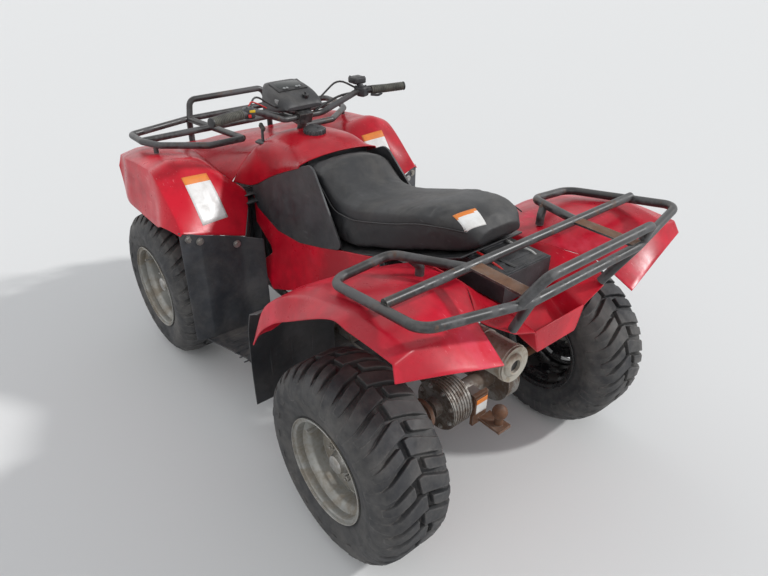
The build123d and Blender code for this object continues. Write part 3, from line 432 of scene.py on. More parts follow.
def pull_skin(work, sections, closed=False):
    """A skin pulled from section to section. Returns its rows of vertices."""
    row = [work.verts.new(point) for point in sections[0]]
    edges = [work.edges.new(pair) for pair in zip(row, row[1:])]
    if closed:
        edges.append(work.edges.new((row[-1], row[0])))
    rows = [row]
    for section in sections[1:]:
        made = bmesh.ops.extrude_edge_only(work, edges=edges)["geom"]
        fresh = set(vertices_in(made))
        next_row = []
        for vertex, point in zip(row, section):
            others = (edge.other_vert(vertex) for edge in vertex.link_edges)
            partner = next(other for other in others if other in fresh)
            partner.co = point
            next_row.append(partner)
        edges = [item for item in made if isinstance(item, bmesh.types.BMEdge)
                 and all(vertex in fresh for vertex in item.verts)]
        row = next_row
        rows.append(row)
    return rows


def add_loft(work, sections, cap_inset=0):
    """A closed form pulled through its sections, with its end caps inset where they are to stay round."""
    rows = pull_skin(work, sections, closed=True)
    for row in (rows[0], rows[-1]):
        cap = work.faces.new(row)
        if cap_inset:
            bmesh.ops.inset_region(work, faces=[cap], thickness=cap_inset * MM, depth=0.0,
                                   use_even_offset=True)


def close_ends(work):
    """Fills the open ends of a skin and points its faces outwards."""
    bmesh.ops.holes_fill(work, edges=[edge for edge in work.edges if edge.is_boundary], sides=0)
    bmesh.ops.recalc_face_normals(work, faces=work.faces)


def crease_grid(work, rows, along, across):
    """Folds in a skin, as line number and sharpness: those that run along it, and those across it."""
    layer = work.edges.layers.float.get("crease_edge") or work.edges.layers.float.new("crease_edge")
    for lines, folds in ((rows, along), (list(zip(*rows)), across)):
        for index, sharpness in folds.items():
            for first, second in zip(lines, lines[1:]):
                work.edges.get((first[index], second[index]))[layer] = sharpness


def face_towards(work, direction):
    """Turns an open skin so that its faces look along a direction on the whole."""
    bmesh.ops.recalc_face_normals(work, faces=work.faces)
    total = sum((face.normal * face.calc_area() for face in work.faces), Vector())
    if total.dot(direction) < 0:
        bmesh.ops.reverse_faces(work, faces=work.faces)


def face_ahead(work, way):
    """Turns each face of an open skin ahead, or backwards with -1."""
    for face in work.faces:
        face.normal_update()
        if face.normal.x * way < 0:
            face.normal_flip()


def thicken_face(work, face, wall):
    """A slab made from one face by a move."""
    made = bmesh.ops.extrude_face_region(work, geom=[face])["geom"]
    bmesh.ops.translate(work, verts=vertices_in(made), vec=wall)


def add_ring_profile(work, centre, axis, profile, steps):
    """A turned shape: a profile of (along the axis, radius) in millimetres, spun round the axis."""
    axis = Vector(axis).normalized()
    across = axis.orthogonal().normalized()
    before = set(work.verts)
    points = [work.verts.new(centre + axis * along * MM + across * radius * MM) for along, radius in profile]
    edges = [work.edges.new(pair) for pair in zip(points, points[1:])]
    bmesh.ops.spin(work, geom=points + edges, cent=centre, axis=axis, dvec=(0, 0, 0), angle=math.tau,
                   steps=steps, use_merge=True)
    made = [vertex for vertex in work.verts if vertex not in before]
    bmesh.ops.remove_doubles(work, verts=made, dist=1e-6)


def add_rod(work, start, end, radius, steps=12, end_radius=None):
    """A closed round bar, or a cone, between two places."""
    run = end - start
    turn = run.to_track_quat("Z", "Y").to_matrix().to_4x4()
    tip = radius if end_radius is None else end_radius
    bmesh.ops.create_cone(work, cap_ends=True, segments=steps, radius1=radius * MM, radius2=tip * MM,
                          depth=run.length, matrix=Matrix.Translation((start + end) / 2) @ turn)


def add_peg(work, spot, axis, start, end, radius, steps=12, end_radius=None):
    """A round bar along an axis, between two distances from a place."""
    add_rod(work, spot + axis * start * MM, spot + axis * end * MM, radius, steps, end_radius)


def add_bolt(work, spot, outward, radius, washer):
    """A washer and a hexagon head standing on a face."""
    add_peg(work, spot, outward, -1, 1.8, washer, 20)
    add_peg(work, spot, outward, 1, 6.5, radius, 6, radius * 0.94)


def add_box(work, low, high, turn=None, bevel=0, segments=2):
    """A block between two corners, turned about its middle, with rounded edges."""
    matrix = Matrix.Translation((low + high) / 2) @ (turn or Matrix()) @ Matrix.Diagonal((*(high - low), 1.0))
    made = bmesh.ops.create_cube(work, size=1.0, matrix=matrix)
    if bevel:
        edges = list({edge for vertex in made["verts"] for edge in vertex.link_edges})
        bmesh.ops.bevel(work, geom=edges, offset=bevel * MM, segments=segments, profile=0.5, affect="EDGES",
                        material=-1)


def add_block(work, low, high, bevel, hand=1, segments=2):
    """A block between two corners in the machine's millimetres, or its mirror image with hand -1."""
    near, far = sorted((hand * low[1], hand * high[1]))
    add_box(work, place(low[0], near, low[2]), place(high[0], far, high[2]), None, bevel, segments)


def add_turned_box(work, middle, size, turn, bevel, segments=2):
    """A rounded block about a place, turned about it."""
    half = Vector(size) * MM / 2
    add_box(work, middle - half, middle + half, turn, bevel, segments)


def route_points(corners, bend, arc_steps=5):
    """Straight runs joined by rounded corners, as a list of places."""
    points = [corners[0]]
    for before, corner, after in zip(corners, corners[1:], corners[2:]):
        back = before - corner
        on = after - corner
        cut = min(bend * MM, back.length * 0.45, on.length * 0.45)
        first = corner + back.normalized() * cut
        last = corner + on.normalized() * cut
        for step in range(arc_steps + 1):
            share = step / arc_steps
            points.append(first.lerp(corner, share).lerp(corner.lerp(last, share), share))
    points.append(corners[-1])
    return points


def add_hose(work, corners, radius, bend, steps=10):
    """A closed tube that follows rounded runs."""
    points = route_points(corners, bend)
    side = None
    sections = []
    for index, point in enumerate(points):
        ahead = (points[min(index + 1, len(points) - 1)] - points[max(index - 1, 0)]).normalized()
        side = ahead.orthogonal() if side is None else side - ahead * side.dot(ahead)
        side.normalize()
        up = ahead.cross(side)
        sections.append([point + (side * math.cos(turn) + up * math.sin(turn)) * radius * MM
                         for turn in (math.tau * step / steps for step in range(steps))])
    add_loft(work, sections)


# Pieces

def add_piece(name, work, slot, *finishes, body="root", replaced=(), smooth=40):
    """A finished mesh made a named piece that rides on a body."""
    mesh = bpy.data.meshes.new(name)
    work.to_mesh(mesh)
    work.free()
    for finish in finishes:
        mesh.materials.append(finish)
    for face in mesh.polygons:
        face.use_smooth = True
    if smooth:
        mesh.set_sharp_from_angle(angle=math.radians(smooth))
    piece = bpy.data.objects.new(name, mesh)
    bpy.context.scene.collection.objects.link(piece)
    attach(piece, body)
    if replaced:
        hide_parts(*replaced)
    return piece


def add_solid(name, work, slot, finish, **settings):
    """Closed shapes with their faces turned outwards, made a piece."""
    bmesh.ops.recalc_face_normals(work, faces=work.faces)
    return add_piece(name, work, slot, finish, **settings)


def add_subsurf(piece, levels):
    """Subdivision shown and rendered at the same level."""
    made = piece.modifiers.new("smoothing", "SUBSURF")
    made.levels = levels
    made.render_levels = levels
    made.boundary_smooth = "PRESERVE_CORNERS"


def add_wall(piece, thickness):
    """A wall inwards from a skin."""
    made = piece.modifiers.new("wall", "SOLIDIFY")
    made.thickness = thickness * MM
    made.offset = -1.0
    made.use_even_offset = True


def add_round_edges(piece, width, segments=2, angle=50):
    """Rounded edges where faces meet sharply."""
    made = piece.modifiers.new("round edges", "BEVEL")
    made.width = width * MM
    made.segments = segments
    made.limit_method = "ANGLE"
    made.angle_limit = math.radians(angle)
    made.harden_normals = False


PANEL_WALL = 4
PANEL_RIM = 1.2


def add_moulding(name, work, slot, finish, replaced):
    """A skin made a smooth moulded panel, with a wall and rounded rims."""
    piece = add_piece(name, work, slot, finish, replaced=replaced, smooth=0)
    add_subsurf(piece, 2)
    add_wall(piece, PANEL_WALL)
    add_round_edges(piece, PANEL_RIM)


# Body panels

# millimetres ahead of the rear axle, then (side, height) from the inner edge over the crown to the lip
FRONT_FENDER_ROWS = (
    (862, (300, 612), (380, 640), (470, 668), (530, 690), (541, 683)),
    (920, (250, 678), (345, 720), (462, 742), (530, 742), (552, 686)),
    (985, (215, 730), (318, 790), (446, 822), (532, 796), (562, 682)),
    (1048, (240, 752), (330, 846), (455, 874), (530, 842), (545, 648)),
    (1100, (250, 768), (335, 856), (455, 874), (525, 846), (543, 645)),
    (1152, (256, 785), (340, 848), (450, 860), (520, 840), (541, 642)),
    (1278, (262, 806), (350, 840), (462, 848), (520, 830), (540, 643)),
    (1362, (265, 814), (358, 834), (450, 840), (520, 820), (540, 648)),
    (1460, (270, 800), (350, 815), (440, 818), (496, 798), (512, 669)),
    (1503, (280, 788), (350, 800), (430, 802), (490, 788), (505, 745)),
)
# millimetres ahead of the rear axle, height at the middle, height at the shoulder, then the fender's edge
HOOD_ROWS = (
    (1048, 872, 846, (240, 752)),
    (1100, 856, 836, (250, 768)),
    (1152, 840, 828, (256, 785)),
    (1278, 826, 817, (262, 806)),
    (1362, 817, 809, (265, 814)),
    (1460, 800, 795, (270, 800)),
)
HOOD_SHOULDER = 150
HOOD_TOP = 60
# millimetres ahead of the rear axle, height at the middle, then (side, height) of shoulder, flank and edge
TANK_COVER_ROWS = (
    (680.4, 920, (118, 912), (163.5, 904), (169.4, 892)),
    (760, 944, (135, 930), (170.5, 880), (174.5, 858)),
    (870, 950, (150, 920), (178.6, 828), (182.3, 806)),
    (975, 930, (160, 900), (190, 784), (196, 744)),
    (1047.6, 874, (150, 848), (206, 790), (235, 750)),
)
TANK_TOP = 62
TANK_TOP_DROP = 2
# millimetres ahead at the middle, skew, then (side, height) of inner edge, deck, crease, shoulder and lip
REAR_FENDER_ROWS = (
    (352, 0, (500, 560), (520, 562), (540, 560), (558, 550), (566, 532)),
    (320, 0, (340, 642), (430, 648), (500, 650), (550, 640), (566, 578)),
    (282, 0, (240, 690), (370, 702), (480, 708), (545, 700), (567, 624)),
    (202, 0, (200, 735), (330, 760), (460, 772), (540, 762), (567, 690)),
    (130, 0, (178, 770), (330, 798), (470, 806), (530, 795), (566, 732)),
    (71, 0, (172, 790), (330, 815), (480, 822), (525, 815), (565, 768)),
    (-61, 0, (172, 805), (300, 838), (470, 850), (528, 852), (565, 843)),
    (-118, 0, (180, 807), (300, 840), (470, 853), (528, 855), (565, 841)),
    (-191, -0.147, (250, 783), (320, 806), (430, 831), (500, 843), (557, 835)),
    (-373, 0.144, (267, 727), (330, 742), (420, 765), (500, 784), (566, 799)),
)
# millimetres ahead of the rear axle, (side, height) of the rim, of the wall's foot and of the floor's edge
TAIL_ROWS = (
    (120, (160, 800), (140, 775), (120, 748)),
    (-60, (168.8, 806.3), (125, 765), (105, 740)),
    (-118, (176.8, 808.3), (118, 760), (100, 728)),
    (-180, (216.3, 794.8), (110, 752), (95, 705)),
    (-228, (246.8, 784.3), (106, 742), (88, 680)),
    (-292, (183, 757), (101, 725), (78, 653)),
)
TAIL_BACK_DROP = 2


def across_line(along, line, skew=0.0, hand=1):
    """Places across the machine, from (side, height) pairs."""
    return [place(along + skew * side, hand * side, height) for side, height in line]


def both_sides(half, *middle):
    """A line of (side, height) pairs from the right edge to the left one, from its left half."""
    return [(-side, height) for side, height in half] + list(middle) + half[::-1]


def step_between(line, join):
    """A list with a joined item put between each two neighbours."""
    stepped = [line[0]]
    for before, after in zip(line, line[1:]):
        stepped += [join(before, after), after]
    return stepped


def middle_point(first, second):
    """The place halfway between two places."""
    return first.lerp(second, 0.5)


def middle_line(first, second):
    """The line halfway between two lines of as many places."""
    return [middle_point(*pair) for pair in zip(first, second)]


def ease_sections(sections):
    """Places put between sections, on a smooth curve, and within them, on straight lines."""
    lines = [step_between(section, middle_point) for section in sections]
    eased = [lines[0]]
    for index in range(len(lines) - 1):
        if 0 < index < len(lines) - 2:
            nearest = zip(*lines[index - 1:index + 3])
            eased.append([(9 * (first + second) - before - after) / 16
                          for before, first, second, after in nearest])
        else:
            eased.append(middle_line(lines[index], lines[index + 1]))
        eased.append(lines[index + 1])
    return eased


def doubled(folds):
    """Folds by their line number once places have been put between the lines."""
    return {line * 2: sharpness for line, sharpness in folds.items()}


def make_shell(name, sections, along, across, replaced, finish):
    """A moulded red panel over its sections, with folds along it and across it."""
    work = bmesh.new()
    crease_grid(work, pull_skin(work, ease_sections(sections)), doubled(along), doubled(across))
    face_towards(work, UP)
    add_moulding(name, work, "red_plastic", finish, replaced)


FRONT_FENDER_FOLDS = {0: 1.0, 1: 0.1, 2: 0.25, 3: 0.6, 4: 1.0}
REAR_FENDER_FOLDS = {0: 1.0, 1: 0.5, 2: 0.5, 3: 0.85, 4: 1.0}
REAR_FENDER_CROSS_FOLDS = {7: 0.8, 8: 0.9}


def make_front_fenders():
    """The two front fenders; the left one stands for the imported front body."""
    for hand, side, replaced in ((1, "left", ("front_body",)), (-1, "right", ())):
        sections = [across_line(along, line, 0.0, hand) for along, *line in FRONT_FENDER_ROWS]
        make_shell("front_fender_" + side, sections, FRONT_FENDER_FOLDS, {}, replaced, RED)


def make_hood():
    """The hood between the front fenders."""
    sections = [across_line(along, both_sides([edge, (HOOD_SHOULDER, shoulder), (HOOD_TOP, middle)]))
                for along, middle, shoulder, edge in HOOD_ROWS]
    make_shell("hood_shell", sections, {0: 1.0, 1: 0.5, 4: 0.5, 5: 1.0}, {}, (), RED)


def make_tank_cover():
    """The crimson cover over the tank, between the knee panels and the hood."""
    sections = [across_line(along, both_sides([edge, flank, shoulder, (TANK_TOP, middle - TANK_TOP_DROP)],
                                              (0, middle)))
                for along, middle, shoulder, flank, edge in TANK_COVER_ROWS]
    make_shell("tank_cover_shell", sections, {0: 1.0, 2: 0.15, 6: 0.15, 8: 1.0}, {}, ("tank_cover",), CRIMSON)


def make_rear_fenders():
    """The two rear fenders."""
    for hand, side in zip(HANDS, ("left", "right")):
        name = "rear_fender_" + side
        sections = [across_line(along, line, skew, hand) for along, skew, *line in REAR_FENDER_ROWS]
        make_shell(name + "_shell", sections, REAR_FENDER_FOLDS, REAR_FENDER_CROSS_FOLDS, (name,), RED_FADED)


def make_tail():
    """The open trough between the rear fenders, closed at its rear."""
    sections = [across_line(along, both_sides(half)) for along, *half in TAIL_ROWS]
    make_shell("tail_trough", sections, {0: 1.0, 1: 0.8, 2: 0.8, 3: 0.8, 4: 0.8, 5: 1.0}, {5: 1.0},
               ("tail_section",), RED)
    end, _, wall_foot, (floor_side, floor_height) = TAIL_ROWS[-1]
    outline = both_sides([wall_foot, (floor_side, floor_height - TAIL_BACK_DROP)])
    work = bmesh.new()
    face = work.faces.new([work.verts.new(spot) for spot in across_line(end, outline)])
    thicken_face(work, face, move(PANEL_WALL, 0, 0))
    piece = add_solid("tail_back", work, "red_plastic", RED, smooth=30)
    add_round_edges(piece, 1.5)


# the side panels' plane: its lean, (side, height) of a line on it, and how far inside it the skins start
PANEL_LEAN = math.radians(8.5)
PANEL_FOOT = (200, 654)
PANEL_INSET = 1.5
# (ahead of the rear axle, height) round each panel
KNEE_CORNERS = ((1000, 744), (808, 838), (612, 924), (405, 701), (520, 668), (647, 638), (789, 632),
                (940, 672))
SIDE_CORNERS = ((978, 716.8), (940, 671.5), (789, 631.5), (647, 637.5), (520, 667.5), (405, 700.5),
                (303, 726), (226, 748), (226, 700), (300, 650), (400, 580), (560, 500), (700, 430),
                (805, 390), (880, 448), (886, 476), (819, 536), (838, 558), (945, 614))
# name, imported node, slot, finish, corners, thickness, crown, round and numbers of the rounded corners
FLANK_PANELS = (
    ("knee_panel_skins", "knee_panels", "black_plastic", BLACK_PLASTIC, KNEE_CORNERS, 8, 3, 30, (0, 2, 3)),
    ("side_panel_skins", "side_panels", "red_plastic", RED, SIDE_CORNERS, 5, 1, 8, (10, 13, 16)),
)


def on_side(along, height, hand):
    """A place just inside the leaning plane of the side panels."""
    side = PANEL_FOOT[0] - (height - PANEL_FOOT[1]) * math.tan(PANEL_LEAN) - PANEL_INSET
    return place(along, hand * side, height)


def add_flank_panel(work, hand, corners, thickness, crown, corner_round, round_corners):
    """A gently crowned panel on one flank, with chosen corners rounded, open behind."""
    outward = Vector((0, hand, 0))
    before = set(work.faces)
    outline = [work.verts.new(on_side(along, height, hand)) for along, height in corners]
    work.faces.new(outline)
    bmesh.ops.bevel(work, geom=[outline[index] for index in round_corners], offset=corner_round * MM,
                    segments=5, profile=0.5, affect="VERTICES", material=-1)
    face = next(item for item in work.faces if item not in before)
    bmesh.ops.recalc_face_normals(work, faces=[face])
    if face.normal.dot(outward) < 0:
        bmesh.ops.reverse_faces(work, faces=[face])
    for step, rise in ((5, 1.2), (10, crown * 0.5), (12, crown * 0.4)):
        bmesh.ops.inset_region(work, faces=[face], thickness=step * MM, depth=0.0, use_even_offset=True)
        for vertex in face.verts:
            vertex.co += outward * rise * MM
    edges = [edge for item in work.faces if item not in before for edge in item.edges if edge.is_boundary]
    rim = vertices_in(bmesh.ops.extrude_edge_only(work, edges=edges)["geom"])
    bmesh.ops.translate(work, verts=rim, vec=-outward * thickness * MM)


def make_flank_panels():
    """The knee panels and the red side panels under them."""
    for name, node, slot, finish, *shape in FLANK_PANELS:
        work = bmesh.new()
        for hand in HANDS:
            add_flank_panel(work, hand, *shape)
        close_ends(work)
        piece = add_piece(name, work, slot, finish, replaced=(node,), smooth=35)
        add_round_edges(piece, 1.5, 2, 40)


# Mudguards, arches, splash guards and footwells

# millimetres ahead of the rear axle and to the side, seen from above
MUDGUARD_LINE = ((870, 541), (862, 512), (855, 488), (850, 475), (848, 402), (846, 330), (832, 294),
                 (815, 252))
MUDGUARD_FOOT = 244.3
MUDGUARD_LEVELS = (0.0, 0.02, 0.35, 0.7, 0.98, 1.0)
# (side, height) of the upper edge near the body and far from it
MUDGUARD_TOP_LINE = ((300, 617), (541, 693))
# millimetres ahead of the rear axle, to the side and above the ground
MUDGUARD_BOLTS = ((862, 512, 664), (850, 478, 650), (846, 345, 600))
# two opposite corners of the liner between the frame and the wheel's arch, and its ribs
INNER_LINER = ((1006, 78.4, 400), (1010, 214, 728))
LINER_RIBS = 6
LINER_RIB_START = 14
LINER_RIB_PITCH = 22
LINER_RIB_WIDTH = 6
# low and high corner of the plates that close the arch towards the body, and of those ahead of the seat
ARCH_PLATES = (((996, 203, 575), (1000, 330, 722)), ((935, 150, 694), (1045, 243, 700)),
               ((940, 190, 480), (1004, 196, 700)), ((960, 130, 716), (1120, 236, 720)))
TANK_PLATES = (((716, -150, 790), (720, 150, 893)), ((708, -112, 790), (712, 112, 910)))
# inner edge of the front fender's rear slope, and how far its flange hangs down from it
FLANGE_EDGE = ((858, 304, 611), (880, 285, 636), (920, 252, 677), (985, 217, 728))
FLANGE_DEPTH = 78
FLANGE_WALL = 3


def mudguard_height(side, share):
    """Height of a share of the guard at a distance from the middle."""
    (near, near_top), (far, far_top) = MUDGUARD_TOP_LINE
    top = near_top + (far_top - near_top) * (side - near) / (far - near)
    return MUDGUARD_FOOT + (top - MUDGUARD_FOOT) * share


def make_mudguards():
    """The tall slate guards behind the front wheels."""
    work = bmesh.new()
    for hand in HANDS:
        rows = pull_skin(work, [[place(along, hand * side, mudguard_height(side, share))
                                 for along, side in MUDGUARD_LINE] for share in MUDGUARD_LEVELS])
        crease_grid(work, rows, {0: 1.0, 3: 0.8, 5: 0.8, 7: 1.0}, {0: 1.0, 5: 1.0})
    face_ahead(work, -1)
    add_moulding("mudguard_skins", work, "dark_plastic", SLATE_PLASTIC, ("mudguards",))


def make_arch_liners():
    """The black plates that close the front arches towards the body, and those ahead of the seat."""
    work = bmesh.new()
    (front, inner, foot), (_, _, top) = INNER_LINER
    for hand in HANDS:
        add_block(work, *INNER_LINER, 1.5, hand)
        for step in range(LINER_RIBS):
            near = inner + LINER_RIB_START + step * LINER_RIB_PITCH
            far = near + LINER_RIB_WIDTH
            add_block(work, (front - 3, near, foot + 8), (front + 1, far, top - 8), 1, hand)
        for plate in ARCH_PLATES:
            add_block(work, *plate, 1, hand)
    for plate in TANK_PLATES:
        add_block(work, *plate, 1)
    add_solid("arch_liners", work, "dark_plastic", BLACK_PLASTIC, smooth=30)


def make_fender_flanges():
    """The black flanges that hang from the front fenders' rear slopes."""
    work = bmesh.new()
    for hand in HANDS:
        pull_skin(work, [[place(along, hand * side, height - drop) for along, side, height in FLANGE_EDGE]
                         for drop in (0, FLANGE_DEPTH)])
    bmesh.ops.recalc_face_normals(work, faces=work.faces)
    piece = add_piece("fender_flanges", work, "dark_plastic", BLACK_PLASTIC, smooth=30)
    add_wall(piece, FLANGE_WALL)


def make_mudguard_bolts():
    """The bolts on the mudguards' rear faces."""
    work = bmesh.new()
    for hand in HANDS:
        for along, side, height in MUDGUARD_BOLTS:
            add_bolt(work, place(along, hand * side, height), Vector((-1, 0, 0)), 8.5, 14)
    add_solid("mudguard_bolts", work, "frame_steel", BOLT_METAL, smooth=35)


# millimetres ahead of the rear axle and above the ground, down the guard
SPLASH_LINE = ((340, 640), (368, 625), (395, 610), (407, 575), (418, 540), (428, 400), (421, 244.4))
SPLASH_SIDES = (227, 232, 310, 390, 470, 540, 545)
SPLASH_RIB = ((420, 262), (431, 520))
SPLASH_RIB_WIDTH = 8


def make_splash_guards():
    """The guards ahead of the rear wheels, with three shallow ribs down each."""
    work = bmesh.new()
    ribs = bmesh.new()
    (rib_back, rib_foot), (rib_front, rib_top) = SPLASH_RIB
    for hand in HANDS:
        rows = pull_skin(work, [[place(along, hand * side, height) for along, height in SPLASH_LINE]
                                for side in SPLASH_SIDES])
        crease_grid(work, rows, {0: 1.0, 2: 0.7, 4: 0.7, 6: 1.0}, {0: 1.0, 1: 0.8, 5: 0.8, 6: 1.0})
        for near in SPLASH_SIDES[2:5]:
            far = near + SPLASH_RIB_WIDTH
            add_block(ribs, (rib_back, near, rib_foot), (rib_front, far, rib_top), 2, hand)
    face_ahead(work, 1)
    add_moulding("splash_guard_skins", work, "dark_plastic", BLACK_PLASTIC, ("splash_guards",))
    add_solid("splash_guard_ribs", ribs, "dark_plastic", BLACK_PLASTIC, smooth=35)


FLOOR_TOP = 244
# (ahead of the rear axle, side) round the floor
FLOOR_OUTLINE = ((862, 505), (862, 101.3), (412, 101.3), (412, 450), (660, 450))
# where the floor's ribs start, end and repeat, how far out they reach, and from where they reach further
FLOOR_RIBS = range(440, 850, 34)
FLOOR_RIB_START = 120
FLOOR_RIB_REACH = (430, 470)
FLOOR_RIB_CHANGE = 640
# low and high corner of the peg and its foot, each with its rounding
PEG_BLOCKS = (((590, 160, 285), (640, 425, 305), 4), ((600, 165, 244), (630, 195, 286), 3))
PEG_TEETH = 9
PEG_TOOTH_START = 190
PEG_TOOTH_PITCH = 27
PEG_TOOTH_ROWS = (594, 636)


def make_footwells():
    """The ribbed floors with their toothed pegs."""
    work = bmesh.new()
    for hand in HANDS:
        outline = [place(along, hand * side, FLOOR_TOP) for along, side in FLOOR_OUTLINE]
        face = work.faces.new([work.verts.new(spot) for spot in outline])
        thicken_face(work, face, move(0, 0, -PANEL_WALL))
        for along in FLOOR_RIBS:
            low = (along - 3, FLOOR_RIB_START, FLOOR_TOP)
            high = (along + 3, FLOOR_RIB_REACH[along >= FLOOR_RIB_CHANGE], FLOOR_TOP + 3)
            add_block(work, low, high, 1, hand, 1)
        for low, high, bevel in PEG_BLOCKS:
            add_block(work, low, high, bevel, hand)
        for tooth in range(PEG_TEETH):
            for along in PEG_TOOTH_ROWS:
                spot = place(along, hand * (PEG_TOOTH_START + tooth * PEG_TOOTH_PITCH), 304)
                add_peg(work, spot, UP, 0, 7, 6, 4, 2)
    piece = add_solid("footwell_floors", work, "dark_plastic", SLATE_PLASTIC, replaced=("footwells",),
                      smooth=30)
    add_round_edges(piece, 1, 1)


# Seat

# ahead of the rear axle, half width and height of the base, the same of the top edge, height at the middle
SEAT_ROWS = (
    (680, 120, 880, 128, 905, 918),
    (600, 150, 800, 150, 905, 915),
    (500, 165, 700, 150, 835, 850),
    (400, 168, 700, 152, 838, 848),
    (300, 165, 735, 156, 865, 872),
    (200, 158, 765, 154, 895, 903),
    (109, 148, 800, 144, 925, 932),
    (11, 132, 832, 130, 938, 945),
    (-42, 112, 850, 108, 932, 938),
    (-70, 88, 872, 80, 908, 914),
)
# how far the cover starts inside the solid, so that it has room to fill out
SEAT_SLACK = 2
SEAT_VOXEL = 7
SEAT_PRESSURE = 4.0
SEAT_PUFF_LIMIT = 7
SEAT_STEPS = 20
# how far the pan reaches past the seat's base, and (below the base) its foot and top
PAN_REACH = 14
PAN_LEVELS = (14, 8)


def bake_shape(piece):
    """Puts what the piece's modifiers make into its mesh."""
    graph = bpy.context.evaluated_depsgraph_get()
    baked = bpy.data.meshes.new_from_object(piece.evaluated_get(graph))
    piece.modifiers.clear()
    piece.data = baked


def puff_cushion(piece):
    """Fills a cushion under its cover by cloth pressure, with the movement capped."""
    remesh = piece.modifiers.new("remesh", "REMESH")
    remesh.mode = "VOXEL"
    remesh.voxel_size = SEAT_VOXEL * MM
    bake_shape(piece)
    start = [vertex.co.copy() for vertex in piece.data.vertices]
    cloth = piece.modifiers.new("cover", "CLOTH")
    cloth.settings.use_pressure = True
    cloth.settings.uniform_pressure_force = SEAT_PRESSURE
    cloth.settings.effector_weights.gravity = 0.0
    for step in range(1, SEAT_STEPS + 1):
        bpy.context.scene.frame_set(step)
    graph = bpy.context.evaluated_depsgraph_get()
    moved = [vertex.co.copy() for vertex in piece.evaluated_get(graph).data.vertices]
    piece.modifiers.clear()
    limit = SEAT_PUFF_LIMIT * MM
    for vertex, before, after in zip(piece.data.vertices, start, moved):
        step = after - before
        if step.length > limit:
            step *= limit / step.length
        vertex.co = before + step
    bpy.context.scene.frame_set(1)
    for face in piece.data.polygons:
        face.use_smooth = True


def seat_section(along, base, base_z, top, top_z, middle_z):
    """A closed section of the saddle, a little inside its solid."""
    bulge = base * 0.45 + top * 0.55 + 2
    half = [(0, base_z + 3), (base * 0.6, base_z + 3), (base - 4, base_z + 3), (base - 3, base_z + 9),
            (bulge - SEAT_SLACK, base_z + (top_z - base_z) * 0.55), (top - SEAT_SLACK - 1, top_z - 14),
            (top - 12, top_z - 4), (top * 0.55, (top_z + middle_z) / 2 - 2), (0, middle_z - SEAT_SLACK - 2)]
    return across_line(along, half + [(-side, height) for side, height in half[-2:0:-1]])


def make_seat():
    """The saddle: a crowned closed form under a tight vinyl cover, with a welt round its sides."""
    work = bmesh.new()
    add_loft(work, step_between([seat_section(*row) for row in SEAT_ROWS], middle_line), cap_inset=10)
    piece = add_solid("seat_cushion", work, "seat_vinyl", SEAT_VINYL, replaced=("seat",), smooth=0)
    add_subsurf(piece, 2)
    bake_shape(piece)
    puff_cushion(piece)
    add_subsurf(piece, 1)
    welts = bmesh.new()
    for hand in HANDS:
        welt = [place(along, hand * (base * 0.3 + top * 0.7 + 0.5), base_z + (top_z - base_z) * 0.72)
                for along, base, base_z, top, top_z, _ in SEAT_ROWS[1:-1]]
        add_hose(welts, welt, 2.2, 30, 6)
    add_solid("seat_welts", welts, "seat_vinyl", CABLE_BLACK, smooth=0)


def make_seat_pan():
    """The black pan that closes the gap between the saddle and the panels beside it."""
    foot, top = PAN_LEVELS
    sections = []
    for along, base, base_z, *_ in SEAT_ROWS[1:-1]:
        reach = base + PAN_REACH
        sections.append(across_line(along, [(-reach, base_z - foot), (reach, base_z - foot),
                                            (reach, base_z - top), (-reach, base_z - top)]))
    work = bmesh.new()
    add_loft(work, sections)
    piece = add_solid("seat_pan", work, "black_plastic", BLACK_PLASTIC, smooth=30)
    add_round_edges(piece, 1.5)


# Fuel cap and gear lever

CAP_PLACE = (826, 0, 938)
CAP_RIBS = 18
# height and radius down the cap's outline
CAP_PROFILE = ((0, 0), (0, 41), (4, 41.5), (6, 38.5), (24, 37.5), (28, 34), (32.5, 22), (34, 10), (34, 0))
# foot, bend and tip of the gear lever, ahead of the rear axle, to the side and above the ground
LEVER_POINTS = ((962, 138, 893), (972, 132, 925), (992, 120, 950))


def make_fuel_cap():
    """The fuel cap: a low dome with grip ribs round it and a bar across it."""
    work = bmesh.new()
    foot = place(*CAP_PLACE)
    add_ring_profile(work, foot, UP, CAP_PROFILE, 48)
    for step in range(CAP_RIBS):
        turn = Matrix.Rotation(math.tau * step / CAP_RIBS, 4, "Z")
        add_turned_box(work, foot + turn @ move(38.5, 0, 15), (4.8, 5.6, 18), turn, 1.2)
    add_box(work, foot + move(-26, -5, 30), foot + move(26, 5, 35.5), None, 2)
    add_solid("fuel_cap_ribbed", work, "black_plastic", BLACK_PLASTIC, replaced=("fuel_cap",))


def make_gear_lever():
    """The gear lever that stands up through a dark gaiter in the tank cover's left shoulder."""
    foot, bend, tip = (place(*point) for point in LEVER_POINTS)
    work = bmesh.new()
    turn = Matrix.Rotation(math.radians(12), 4, "Z") @ Matrix.Rotation(math.radians(-10), 4, "X")
    add_box(work, foot + move(-34, -12, 6), foot + move(30, 14, 16), turn, 4.8, 3)
    add_hose(work, [foot, bend, tip], 5.5, 10)
    add_solid("gear_lever", work, "black_plastic", CABLE_BLACK, smooth=35)
    knob = bmesh.new()
    add_turned_box(knob, tip, (34, 14, 20), Matrix.Rotation(math.radians(-35), 4, "Y"), 6.5, 4)
    add_solid("gear_lever_knob", knob, "grip_rubber", GRIP_RUBBER, smooth=50)


# Labels

LABEL_STEPS = 12
LABEL_LIFT = 0.7
LABEL_WALL = 0.3
# how far above its corners the search for the surface starts, and how far it looks
LABEL_START = 50
LABEL_SEARCH = 120
